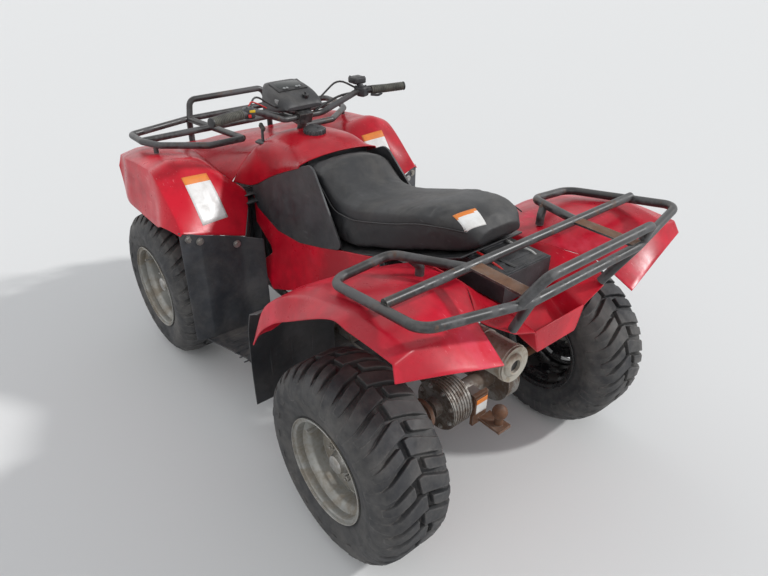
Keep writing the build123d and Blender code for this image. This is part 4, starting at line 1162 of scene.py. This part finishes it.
# name, piece it lies on, upper left, upper right, lower right and lower left corner, share of its band
LABELS = (
    ("fender_label_left", "front_fender_left", (997, 451, 831), (1010, 352, 822), (900, 341, 686),
     (882, 446, 688), 0.15),
    ("fender_label_right", "front_fender_right", (1010, -352, 822), (997, -451, 831), (882, -446, 688),
     (900, -341, 686), 0.15),
    ("seat_label", "seat_cushion", (18, 104, 941), (4, 34, 944), (-54, 46, 925), (-38, 108, 915), 0.30),
    ("hitch_label", "", (-88.5, 52, 332), (-88.5, 4, 332), (-88.5, 4, 276), (-88.5, 52, 276), 0.34),
)
HITCH_PLATE = ((-88, 0, 271), (-83, 56, 337))


def make_label(name, under, corners, band):
    """A blank sticker with a plain band along its upper edge, laid on the piece under it."""
    graph = bpy.context.evaluated_depsgraph_get()
    surface = BVHTree.FromObject(bpy.data.objects[under], graph) if under else None
    upper_left, upper_right, lower_right, lower_left = (place(*corner) for corner in corners)
    down_edge = lower_left - upper_left
    outward = (upper_right - upper_left).cross(down_edge).normalized()
    if outward.dot(camera.matrix_world.translation - upper_left) < 0:
        outward = -outward
    rows = []
    for down in range(LABEL_STEPS + 1):
        left = upper_left.lerp(lower_left, down / LABEL_STEPS)
        right = upper_right.lerp(lower_right, down / LABEL_STEPS)
        row = []
        for across in range(LABEL_STEPS + 1):
            spot = left.lerp(right, across / LABEL_STEPS)
            hit = None
            if surface:
                hit = surface.ray_cast(spot + outward * LABEL_START * MM, -outward, LABEL_SEARCH * MM)[0]
            row.append((hit or spot) + outward * LABEL_LIFT * MM)
        rows.append(row)
    work = bmesh.new()
    pull_skin(work, rows)
    face_towards(work, outward)
    for face in work.faces:
        depth = (face.calc_center_median() - upper_left).dot(down_edge.normalized()) / down_edge.length
        face.material_index = 1 if depth < band else 0
    piece = add_piece(name, work, None, LABEL_WHITE, LABEL_ORANGE, smooth=0)
    add_wall(piece, LABEL_WALL)


def make_labels():
    """The blank stickers on the fenders, the seat and the hitch, and the plate that carries the last."""
    plate = bmesh.new()
    add_block(plate, *HITCH_PLATE, 1)
    add_solid("hitch_plate", plate, "rusty_steel", RUSTY_STEEL, smooth=35)
    for name, under, *corners, band in LABELS:
        make_label(name, under, corners, band)


# Display pod, grips and hand controls

STEM_TOP = (902.26, 973.07)
# behind the stem's top, to the side and above it, where the bar's outer run starts and ends
BAR_RUN = ((42.3, 215, 79), (101.3, 402, 86))
# ahead of the stem's top, half width and height of the lower edge, half width and height of the upper edge
POD_ROWS = (
    (-19, 76, 48, 72, 60),
    (-10, 84, 42, 78, 74),
    (30, 92, 34, 82, 96),
    (90, 90, 20, 79, 111),
    (141, 84, 12, 71, 122),
    (165, 72, 16, 62, 110),
    (181, 60, 22, 50, 92),
)
POD_SCREEN_SLOPE = math.radians(14)
POD_BUTTON_SIDES = (-34, -22, 18, 30)


def at_bars(behind, side, above):
    """A place from millimetres behind the stem's top, to the left and above it."""
    return place(STEM_TOP[0] - behind, side, STEM_TOP[1] + above)


def on_bar(side, ahead=0, left=0, up=0):
    """A place on the bar's outer run, at a distance from its middle, moved by millimetres."""
    (behind, start, above), (end_behind, end, end_above) = BAR_RUN
    share = (abs(side) - start) / (end - start)
    spot = at_bars(behind + share * (end_behind - behind), side, above + share * (end_above - above))
    return spot + move(ahead, left, up)


def pod_section(along, low_side, low_z, high_side, high_z):
    """A closed section of the display pod."""
    half = [(low_side * 0.5, low_z), (low_side - 6, low_z + 1), (low_side, low_z + 6),
            ((low_side + high_side) / 2 + 2, (low_z + high_z) / 2), (high_side, high_z - 7),
            (high_side - 8, high_z - 1), (high_side * 0.5, high_z)]
    return [at_bars(-along, side, height) for side, height in both_sides(half)]


def make_display_pod():
    """The display pod: a rounded shell with a bezel, a screen, its buttons and the ignition lock."""
    work = bmesh.new()
    add_loft(work, [pod_section(*row) for row in POD_ROWS], cap_inset=6)
    piece = add_solid("display_pod_shell", work, "black_plastic", BLACK_PLASTIC, body="steering",
                      replaced=("display_pod",), smooth=0)
    add_subsurf(piece, 2)
    turn = Matrix.Rotation(-POD_SCREEN_SLOPE, 4, "Y")
    bezel, screen, buttons, key = (bmesh.new() for _ in range(4))
    add_box(bezel, at_bars(-48, -62, 106), at_bars(-122, 62, 113), turn, 3)
    add_box(screen, at_bars(-66, -50, 112), at_bars(-114, 50, 115.5), turn, 2)
    for side in POD_BUTTON_SIDES:
        add_box(buttons, at_bars(-52, side, 108.5), at_bars(-60, side + 9, 112.5), turn, 1.5)
    add_box(buttons, at_bars(-22, 74, 62), at_bars(-44, 86, 82), None, 3)
    add_rod(key, at_bars(-8, -22, 78), at_bars(-4, -22, 92), 12, 24)
    add_box(key, at_bars(-10, -24, 90), at_bars(-2, -20, 100), None, 1)
    for name, part, slot, finish in (("display_bezel", bezel, "black_plastic", CABLE_BLACK),
                                     ("display_screen", screen, "lamp_glass", SCREEN_DARK),
                                     ("display_buttons", buttons, "lamp_glass", BUTTON_GREY),
                                     ("ignition_lock", key, "frame_steel", CABLE_BLACK)):
        add_solid(name, part, slot, finish, body="steering", smooth=35)


GRIP_ENDS = (273, 402)
GRIP_RIBS = 17
GRIP_BORE = 11.3
GRIP_FLANGE = 15.8
GRIP_GROOVE = 14.0
GRIP_CREST = 15.4
GRIP_CAP_START = 6
GRIP_CAP = ((0, 0), (0, 15.7), (4.5, 15.7), (6, 13), (6, 0))


def make_grips():
    """The ribbed rubber grips, each with a flange at its inner end and a black end cap."""
    rubber = bmesh.new()
    caps = bmesh.new()
    for hand in HANDS:
        start, end = (on_bar(hand * side) for side in GRIP_ENDS)
        axis = (end - start).normalized()
        length = (end - start).length / MM
        cap_start = length - GRIP_CAP_START
        pitch = (length - 18) / GRIP_RIBS
        profile = [(0, GRIP_BORE), (0, GRIP_FLANGE), (4, GRIP_FLANGE), (5.5, 14.2)]
        for rib in range(GRIP_RIBS):
            spot = 8 + pitch * rib
            profile += [(spot, GRIP_GROOVE), (spot + pitch * 0.25, GRIP_CREST),
                        (spot + pitch * 0.7, GRIP_CREST), (spot + pitch * 0.85, GRIP_GROOVE)]
        profile += [(cap_start, GRIP_GROOVE), (cap_start, GRIP_BORE)]
        add_ring_profile(rubber, start, axis, profile + profile[:1], 28)
        add_ring_profile(caps, start + axis * cap_start * MM, axis, GRIP_CAP, 28)
    add_solid("ribbed_grips", rubber, "grip_rubber", GRIP_RUBBER, body="steering", replaced=("grips",))
    add_solid("grip_ends", caps, "black_plastic", CABLE_BLACK, body="steering")


# distance of each control from the bar's middle
SWITCH_SIDE = 240
CLAMP_SIDE = 226
PERCH_SIDE = 236
CLAMP_BOLT_SIDES = (231, 249)
BAR_SWEEP = math.radians(-17.5)
RESERVOIR = ((50, -259, 106), (0, -208, 130))
RESERVOIR_SCREWS = ((44, -252), (6, -215))
# name, finish, side, offsets ahead and up, size
SWITCHES = (
    ("light_switch", BUTTON_YELLOW, 236, -19, 8, (6, 20, 9)),
    ("stop_button", BUTTON_RED, 248, -18, -6, (9, 10, 10)),
    ("start_button", WIRE_WHITE, 229, -17, -7, (7, 7, 8)),
)


def make_hand_controls():
    """Switch housings, brake reservoir and thumb throttle, and the levers with their screws."""
    housings = bmesh.new()
    metal = bmesh.new()
    for hand in HANDS:
        turn = Matrix.Rotation(hand * BAR_SWEEP, 4, "Z")
        add_turned_box(housings, on_bar(hand * SWITCH_SIDE), (36, 40, 38), turn, 9, 3)
        add_turned_box(housings, on_bar(hand * CLAMP_SIDE, 12, 0, 4), (22, 12, 30), turn, 4)
        perch = on_bar(hand * PERCH_SIDE, 18, 0, 2)
        add_hose(metal, [perch, perch + move(16, hand * 18, 1), on_bar(hand * 300, 34, 0, 4),
                         on_bar(hand * 385, 36)], 4.8, 20)
        for side in CLAMP_BOLT_SIDES:
            add_peg(metal, on_bar(hand * side, -4, 0, 18), UP, 0, 4, 3.2)
    add_box(housings, at_bars(*RESERVOIR[0]), at_bars(*RESERVOIR[1]), None, 6, 3)
    for behind, side in RESERVOIR_SCREWS:
        add_rod(metal, at_bars(behind, side, 128), at_bars(behind, side, 131.5), 3.5)
    add_hose(housings, [on_bar(-264, -10, 0, -14), on_bar(-286, -24, 0, -16), on_bar(-300, -22, 0, -10)],
             4.5, 10)
    add_rod(housings, on_bar(-236, 0, 0, 12), at_bars(36, -234, 108), 11, 20)
    add_solid("control_housings", housings, "black_plastic", BLACK_PLASTIC, body="steering",
              replaced=("hand_controls",))
    add_solid("brake_levers", metal, "cast_metal", LEVER_METAL, body="steering")


def make_switches():
    """The coloured switches on the left housing."""
    turn = Matrix.Rotation(-0.3, 4, "Z")
    for name, finish, side, ahead, up, size in SWITCHES:
        work = bmesh.new()
        add_turned_box(work, on_bar(side, ahead, 0, up), size, turn, 1.8)
        add_solid(name, work, "black_plastic", finish, body="steering")


def make_control_cables():
    """The control cables from each side to under the pod, and the red wire on the left."""
    cables = bmesh.new()
    for hand, lift in ((1, 20), (-1, 26)):
        start = on_bar(hand * 228, 14, 0, 8)
        add_hose(cables, [start, at_bars(-18, hand * 176, 96 + lift), at_bars(-30, hand * 112, 70),
                          at_bars(-20, hand * 50, 34), at_bars(-6, hand * 20, 22)], 3.5, 50, 8)
        add_hose(cables, [start + move(0, 0, -12), at_bars(2, hand * 168, 66), at_bars(-6, hand * 96, 40),
                          at_bars(0, hand * 24, 14)], 4.5, 50, 8)
    add_solid("control_cables", cables, "black_plastic", CABLE_BLACK, body="steering", smooth=0)
    wire = bmesh.new()
    add_hose(wire, [on_bar(232, 10, 0, 18), at_bars(10, 206, 104), at_bars(14, 182, 92),
                    at_bars(10, 150, 72)], 2.4, 30, 8)
    add_solid("red_wire", wire, "black_plastic", BUTTON_RED, body="steering", smooth=0)


# Springs, muffler, final drive and battery

# foot and head of each shock absorber, ahead of the rear axle, to the side and above the ground
SHOCK_ROWS = (
    ((1254, 282, 399), (1240, 88, 652)),
    ((1254, -282, 399), (1240, -88, 652)),
    ((80, -66, 338), (170, -78, 683.3)),
)
SPRING_SEAT = ((-1, 0), (-1, 29.5), (4, 29.5), (6, 21), (10, 19), (10, 0))
SPRING_TURNS = 7
SPRING_STEPS = 18
SPRING_RADIUS = 25.2
SPRING_WIRE = 4.2
SPRING_END = 9


def add_spring(work, low, high):
    """A coil spring between two places."""
    axis = (high - low).normalized()
    across = axis.orthogonal().normalized()
    bottom = low + axis * SPRING_END * MM
    wire = bmesh.ops.create_circle(work, cap_ends=False, segments=8, radius=SPRING_WIRE * MM)["verts"]
    upright = Matrix((across, axis, axis.cross(across))).transposed().to_4x4()
    onto_coil = Matrix.Translation(bottom + across * SPRING_RADIUS * MM)
    bmesh.ops.transform(work, matrix=onto_coil @ upright, verts=wire)
    steps = SPRING_TURNS * SPRING_STEPS
    climb = (high - low).length - 2 * SPRING_END * MM
    loop = list({edge for vertex in wire for edge in vertex.link_edges})
    bmesh.ops.spin(work, geom=wire + loop, cent=bottom, axis=axis, dvec=axis * climb / steps,
                   angle=math.tau * SPRING_TURNS, steps=steps, use_merge=False)


def make_shock_absorbers():
    """Each shock absorber: a damper in three steps, its two spring seats and a coil spring."""
    dampers = bmesh.new()
    springs = bmesh.new()
    for foot, head in SHOCK_ROWS:
        start, end = place(*foot), place(*head)
        axis = (end - start).normalized()
        low = start.lerp(end, 0.3)
        high = start.lerp(end, 0.88)
        add_rod(dampers, start, low, 13, 20)
        add_rod(dampers, low, start.lerp(end, 0.62), 18, 24)
        add_rod(dampers, start.lerp(end, 0.6), end, 7.5, 16)
        for spot, way in ((low, 1), (high, -1)):
            add_ring_profile(dampers, spot, axis * way, SPRING_SEAT, 32)
        add_spring(springs, low, high)
    add_solid("dampers", dampers, "shock_steel", LEVER_METAL, replaced=("shock_absorbers",))
    close_ends(springs)
    add_piece("coil_springs", springs, "shock_steel", SPRING_PAINT, smooth=0)


MUFFLER_TAIL = (-200, 40, 536)
MUFFLER_FRONT = (150, 40, 520)
MUFFLER_BANDS = (0.04, 0.34, 0.90)
OUTLET_PROFILE = ((-6, 36), (4, 36), (10, 31), (13, 25), (11, 20), (-4, 19.5), (-6, 36))
BAND_PROFILE = ((-7, 55.5), (-6, 58), (6, 58), (7, 55.5), (-7, 55.5))


def make_muffler_details():
    """The muffler's rounded tail with its outlet, and the bands round its body."""
    tail, front = place(*MUFFLER_TAIL), place(*MUFFLER_FRONT)
    back = (tail - front).normalized()
    outlet = tail + move(0, 10, 4)
    work = bmesh.new()
    add_ring_profile(work, outlet, back, OUTLET_PROFILE, 40)
    for share in MUFFLER_BANDS:
        add_ring_profile(work, tail.lerp(front, share), back, BAND_PROFILE, 56)
    add_solid("muffler_bands", work, "muffler_metal", MUFFLER_METAL)
    dark = bmesh.new()
    add_peg(dark, outlet, back, -4, 1.2, 19.8, 32)
    add_solid("muffler_outlet", dark, "muffler_metal", CABLE_BLACK)


# side of the face, way it looks, radius and number of its bolts, and radius of a bolt and of its washer
BOLT_RINGS = (
    (62, -1, 70, 8, 6.2, 8.5),
    (142, 1, 70, 8, 6.2, 8.5),
    (-150, -1, 78, 6, 5.5, 7.5),
)
BRAKE_RIBS = 10
CASE_FINS = 7
CASE_FIN_START = 70
CASE_FIN_PITCH = 11
FIN_PROFILE = ((-1.8, 80), (-1.8, 84.5), (1.8, 84.5), (1.8, 80), (-1.8, 80))


def make_drive_details():
    """Bolts and ribs on the final gear case and the rear brake's cover."""
    bolts = bmesh.new()
    for side, way, radius, count, bolt, washer in BOLT_RINGS:
        for step in range(count):
            turn = math.tau * (step + 0.5) / count
            spot = place(math.cos(turn) * radius, side, AXLE_HEIGHT + math.sin(turn) * radius)
            add_bolt(bolts, spot, Vector((0, way, 0)), bolt, washer)
    add_solid("drive_bolts", bolts, "frame_steel", BOLT_METAL, smooth=35)
    ribs = bmesh.new()
    for step in range(BRAKE_RIBS):
        turn = Matrix.Rotation(math.tau * (step + 0.25) / BRAKE_RIBS, 4, "Y")
        add_turned_box(ribs, place(0, -152, AXLE_HEIGHT) + turn @ move(58, 0, 0), (46, 5, 5), turn, 1.5)
    for step in range(CASE_FINS):
        middle = place(0, CASE_FIN_START + CASE_FIN_PITCH * step, AXLE_HEIGHT)
        add_ring_profile(ribs, middle, (0, 1, 0), FIN_PROFILE, 56)
    add_solid("drive_ribs", ribs, "cast_metal", CAST_METAL)


BATTERY_LID = ((-168, -88, 826), (-6, 88, 831))
LID_RIBS = 5
LID_RIB_PITCH = 30
BATTERY_STRAP = ((-160, 34, 832), (-14, 46, 834.5))
# name, finish and points of each cable
BATTERY_CABLES = (
    ("battery_cable_red", BUTTON_RED,
     ((-30, 62, 836), (-70, 66, 839), (-118, 74, 836), (-164, 70, 822))),
    ("battery_cable_white", WIRE_WHITE,
     ((-40, -58, 836), (-80, -50, 838), (-120, -64, 836), (-166, -60, 824))),
)


def make_battery_details():
    """The battery's ribbed lid, its strap, and the two cables that lie on it."""
    lid = bmesh.new()
    add_block(lid, *BATTERY_LID, 2)
    for step in range(LID_RIBS):
        start = -160 + step * LID_RIB_PITCH
        add_block(lid, (start, -80, 830), (start + 14, 80, 833), 1.5)
    add_solid("battery_lid", lid, "black_plastic", BLACK_PLASTIC, smooth=35)
    strap = bmesh.new()
    add_block(strap, *BATTERY_STRAP, 0.8)
    add_solid("battery_strap", strap, "black_plastic", CABLE_BLACK, smooth=35)
    for name, finish, points in BATTERY_CABLES:
        work = bmesh.new()
        add_hose(work, [place(*point) for point in points], 3.2, 20, 8)
        add_solid(name, work, "black_plastic", finish, smooth=0)


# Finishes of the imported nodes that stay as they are
NODE_FINISHES = (
    (FRAME_PAINT, ("frame", "suspension_arms", "shock_absorbers", "steering_stem", "tie_rod_left",
                   "tie_rod_right")),
    (CAST_METAL, ("engine", "swingarm", "rear_brake_cover", "front_differential", "knuckle_left",
                  "knuckle_right")),
    (BLACK_PLASTIC, ("skid_plate", "fuel_cap", "battery_box", "hand_controls", "display_pod")),
    (RACK_PAINT, ("front_bumper", "rear_rack", "front_rack", "handlebar")),
    (RUSTY_STEEL, ("tow_hitch", "rear_axle_shaft")),
    (MUFFLER_METAL, ("exhaust",)),
    (LAMP_LENS, ("headlights",)),
    (GRIP_RUBBER, ("grips",)),
)
# the rear rack's flat plates: distance of their middle from the machine's, half width, height of their top
RACK_PLATE = (206, 21, 892)
RACK_PLATE_AREA = 0.002


def finish_nodes():
    """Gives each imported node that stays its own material."""
    for finish, names in NODE_FINISHES:
        for name in names:
            NODES[name].data.materials.clear()
            NODES[name].data.materials.append(finish)


def finish_headlights():
    """Gives the headlights' backs and sides the housing's finish; the lens is their front."""
    mesh = NODES["headlights"].data
    mesh.materials.append(BLACK_PLASTIC)
    for face in mesh.polygons:
        if face.normal.x < 0.5:
            face.material_index = 1


def finish_rack_plates():
    """Gives the rear rack's two flat plates their rusty finish."""
    middle, reach, height = RACK_PLATE
    mesh = NODES["rear_rack"].data
    mesh.materials.append(RUSTY_STEEL)
    for face in mesh.polygons:
        beside = abs(abs(face.center.y) - middle * MM) < reach * MM
        flat = abs(face.normal.x) < 0.2 and face.area > RACK_PLATE_AREA
        if beside and flat and face.center.z > height * MM:
            face.material_index = 1


# Wheels

TYRE_RADIUS = 302
# share of half the tyre's width, forward and backward edge of the lug along the tread
LONG_LUG = ((-0.05, 30, -14), (0.08, 31, -16), (0.24, 22, -22), (0.45, 10, -30), (0.66, -4, -42),
            (0.82, -12, -50), (0.93, -16, -54), (0.985, -18, -52))
SHORT_LUG = ((0.20, -36, -62), (0.26, -37, -68), (0.45, -46, -76), (0.66, -58, -86), (0.82, -66, -92),
             (0.90, -70, -90))
LUGS_A_SIDE = 18
LUG_HEIGHT = 16
LUG_ROOT = 7
LUG_TAPER = 2.5
RIM_VENTS = 8
# radii between which the disc is vented, and the share of its pitch that a vent takes up
VENT_RADII = (100, 112)
VENT_SHARE = (0.28, 0.72)
HUB_PROFILE = ((-4, 0), (-4, 34), (12, 34), (18, 30), (30, 28), (34, 22), (34, 0))
WHEEL_NUTS = 4
NUT_CIRCLE = 49
# from and to along the axle, radius and sides of each nut's seat, head and stud
NUT_STEPS = ((-2, 4, 13, 24), (3, 18, 9.5, 6), (16, 24, 5, 16))
# end, side, body, half width of the tyre, half width and radius of the rim, dish, disc finish
WHEELS = (
    ("front", "left", "front_wheel_left", 101.5, 95, 170, 20, RIM_METAL),
    ("front", "right", "front_wheel_right", 101.5, 95, 170, 20, RIM_METAL),
    ("rear", "left", "rear_wheels", 123, 112.5, 160, 30, RIM_METAL),
    # painted shade: this rim's disc is black, the shade of its inner side, not grey paint like the others
    ("rear", "right", "rear_wheels", 123, 112.5, 160, 30, RIM_IN_PAINTED_SHADE),
)


def node_centre(node):
    """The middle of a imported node's box."""
    low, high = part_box(node)
    return (low + high) / 2


def tyre_surface(across, half):
    """Radius of the lugs' tips at a distance from the tyre's middle."""
    steps = ((0, TYRE_RADIUS), (half - 70, TYRE_RADIUS), (half - 30, 293), (half - 12, 268), (half - 3, 240),
             (half, 236))
    for (start, first), (end, second) in zip(steps, steps[1:]):
        if across <= end:
            return first + (second - first) * (across - start) / (end - start)
    return steps[-1][1]


def add_lug(work, centre, half, hand, turn, lug_rows):
    """One lug: a bar that slants back from the middle and runs down over the shoulder."""
    sections = []
    for share, front, back in lug_rows:
        side = half * share
        top = tyre_surface(abs(side), half)
        base = top - LUG_HEIGHT - LUG_ROOT
        section = []
        for along, radius in ((front + LUG_TAPER, base), (front, top), (back, top), (back - LUG_TAPER, base)):
            angle = turn + along / TYRE_RADIUS
            spot = Vector((radius * math.sin(angle), hand * side, radius * math.cos(angle)))
            section.append(centre + spot * MM)
        sections.append(section)
    before = set(work.faces)
    add_loft(work, sections)
    bmesh.ops.recalc_face_normals(work, faces=[face for face in work.faces if face not in before])


def make_tyre(name, node, body, half, rim_radius, rim_half):
    """A tyre: its carcass spun round the axle, and its lugs set round it on both sides."""
    centre = node_centre(node)
    work = bmesh.new()
    # (side, radius) from the bead, which follows the rim, over the wall to the tread's middle
    wall = [(rim_half - 7, rim_radius - 13), (rim_half - 6.4, rim_radius + 3), (rim_half - 3, rim_radius + 8),
            (rim_half - 1, rim_radius + 14), (half - 8, 196), (half - 6, 200), (half - 6.5, 206),
            (half - 2, 222), (half - 2.5, 240), (half - 10, 260), (half - 20, 274), (half - 36, 282),
            (half - 70, 285)]
    profile = [(-side, radius) for side, radius in wall] + wall[::-1]
    add_ring_profile(work, centre, (0, 1, 0), profile + profile[:1], 72)
    bmesh.ops.recalc_face_normals(work, faces=work.faces)
    for step in range(LUGS_A_SIDE):
        turn = math.tau * step / LUGS_A_SIDE
        for hand, phase in ((1, 0.0), (-1, math.pi / LUGS_A_SIDE)):
            for lug in (LONG_LUG, SHORT_LUG):
                add_lug(work, centre, half, hand, turn + phase, lug)
    piece = add_piece(name, work, "tyre_rubber", TYRE_RUBBER, body=body, replaced=(node,), smooth=35)
    add_round_edges(piece, 2.2, 2, 32)


def in_vent(face, centre):
    """Whether a face of the disc lies in one of its vents."""
    middle = face.calc_center_median() - centre
    out = math.hypot(middle.x, middle.z) / MM
    pitch = math.tau / RIM_VENTS
    share = math.atan2(middle.z, middle.x) % pitch / pitch
    return VENT_RADII[0] < out < VENT_RADII[1] and VENT_SHARE[0] < share < VENT_SHARE[1]


def make_rim(name, node, body, half, radius, dish, finish):
    """A pressed steel rim: its barrel and its vented disc."""
    centre = node_centre(node)
    hand = 1 if centre.y > 0 else -1
    seat = radius - 14
    well = radius - 34
    # (side, radius) from the flange to the well, and the same on the other side
    outer = [(half, radius - 2), (half - 1, radius), (half - 5, radius - 1), (half - 7, seat + 2),
             (half - 12, seat), (half - 30, seat), (half - 40, well + 4), (half - 50, well)]
    disc = [(dish - 2, well - 1), (dish + 2, well - 12), (dish + 4, 112), (dish + 8, 100), (dish + 6, 78),
            (dish + 2, 66), (dish + 10, 60), (dish + 12, 40), (dish + 12, 18)]
    work = bmesh.new()
    add_ring_profile(work, centre, (0, hand, 0), outer + [(-side, out) for side, out in outer[::-1]], 72)
    before = set(work.faces)
    add_ring_profile(work, centre, (0, hand, 0), disc, 64)
    vents = [face for face in work.faces if face not in before and in_vent(face, centre)]
    bmesh.ops.delete(work, geom=vents, context="FACES")
    bmesh.ops.recalc_face_normals(work, faces=work.faces)
    piece = add_piece(name, work, "rim_steel", finish, body=body, replaced=(node,), smooth=45)
    made = piece.modifiers.new("wall", "SOLIDIFY")
    made.thickness = 3 * MM
    made.offset = 0.0
    add_round_edges(piece, 0.8)
    make_hub(name + "_hub", centre, Vector((0, hand, 0)), body, half, well, dish)


def make_hub(name, centre, outward, body, half, well, dish):
    """A wheel's hub with its nuts, and the tyre's valve."""
    work = bmesh.new()
    face_at = centre + outward * (dish + 12) * MM
    add_ring_profile(work, face_at, outward, HUB_PROFILE, 32)
    for step in range(WHEEL_NUTS):
        turn = math.tau * (step + 0.5) / WHEEL_NUTS
        spot = face_at + Vector((math.cos(turn), 0, math.sin(turn))) * NUT_CIRCLE * MM
        for start, end, radius, sides in NUT_STEPS:
            add_peg(work, spot, outward, start, end, radius, sides)
    valve = centre + outward * (half - 46) * MM + Vector((math.cos(0.6), 0, math.sin(0.6))) * (well - 6) * MM
    add_peg(work, valve, outward, 0, 30, 4)
    piece = add_solid(name, work, "rim_steel", BOLT_METAL, body=body, smooth=35)
    add_round_edges(piece, 0.6, 1, 40)


def make_wheels():
    """Four tyres and rims."""
    for end, side, body, half, rim_half, rim_radius, dish, finish in WHEELS:
        make_tyre(f"{end}_tyre_{side}_lugged", f"{end}_tyre_{side}", body, half, rim_radius, rim_half)
        make_rim(f"{end}_rim_{side}_pressed", f"{end}_rim_{side}", body, rim_half, rim_radius, dish, finish)


# Stage

# name, place it shines from, strength, width of its disc in degrees
SUNS = (
    ("low sun", (-2.6, -3.4, 3.4), 1.9, 4.0),
    ("sky from the left", (-2.4, 3.6, 3.4), 0.55, 60.0),
    ("sky from ahead", (3.6, 0.8, 3.0), 0.45, 60.0),
)
SUN_TARGET = Vector((0, 0, 0.5))


def make_floor():
    """A plain pale floor."""
    work = bmesh.new()
    bmesh.ops.create_grid(work, x_segments=1, y_segments=1, size=60.0)
    mesh = bpy.data.meshes.new("floor")
    work.to_mesh(mesh)
    work.free()
    floor = bpy.data.objects.new("floor", mesh)
    bpy.context.scene.collection.objects.link(floor)
    pale = bpy.data.materials.new("pale floor")
    pale.use_nodes = True
    shader = pale.node_tree.nodes["Principled BSDF"]
    shader.inputs["Base Color"].default_value = (0.74, 0.74, 0.73, 1.0)
    shader.inputs["Roughness"].default_value = 0.9
    mesh.materials.append(pale)


def make_world():
    """A world that is white to the camera and in metal and glass, and soft light elsewhere."""
    world = bpy.data.worlds.new("studio")
    bpy.context.scene.world = world
    world.use_nodes = True
    tree = world.node_tree
    tree.nodes.clear()
    path = tree.nodes.new("ShaderNodeLightPath")
    seen = add_math(tree, "MAXIMUM", path.outputs["Is Camera Ray"], path.outputs["Is Glossy Ray"])
    seen = add_math(tree, "MAXIMUM", seen, path.outputs["Is Transmission Ray"])
    soft = add_node(tree, "ShaderNodeBackground", {"Color": (0.92, 0.95, 1.0, 1.0), "Strength": 0.55})
    white = add_node(tree, "ShaderNodeBackground", {"Color": (1.0, 1.0, 1.0, 1.0), "Strength": 1.0})
    shown = add_node(tree, "ShaderNodeMixShader", {0: seen, 1: soft.outputs[0], 2: white.outputs[0]})
    out = tree.nodes.new("ShaderNodeOutputWorld")
    tree.links.new(shown.outputs[0], out.inputs["Surface"])


def make_lamps():
    """The suns that light the scene."""
    for name, spot, strength, disc in SUNS:
        data = bpy.data.lights.new(name, "SUN")
        data.energy = strength
        data.angle = math.radians(disc)
        lamp = bpy.data.objects.new(name, data)
        bpy.context.scene.collection.objects.link(lamp)
        lamp.location = spot
        lamp.rotation_euler = (SUN_TARGET - Vector(spot)).to_track_quat("-Z", "Y").to_euler()
    bpy.context.scene.view_settings.view_transform = "Standard"


make_floor()
make_world()
make_lamps()
finish_nodes()
make_front_fenders()
make_hood()
make_tank_cover()
make_rear_fenders()
make_tail()
make_flank_panels()
make_mudguards()
make_arch_liners()
make_fender_flanges()
make_mudguard_bolts()
make_splash_guards()
make_footwells()
make_seat()
make_seat_pan()
make_fuel_cap()
make_gear_lever()
make_labels()
make_display_pod()
make_grips()
make_hand_controls()
make_switches()
make_control_cables()
make_shock_absorbers()
make_muffler_details()
make_drive_details()
make_battery_details()
finish_rack_plates()
finish_headlights()
make_wheels()
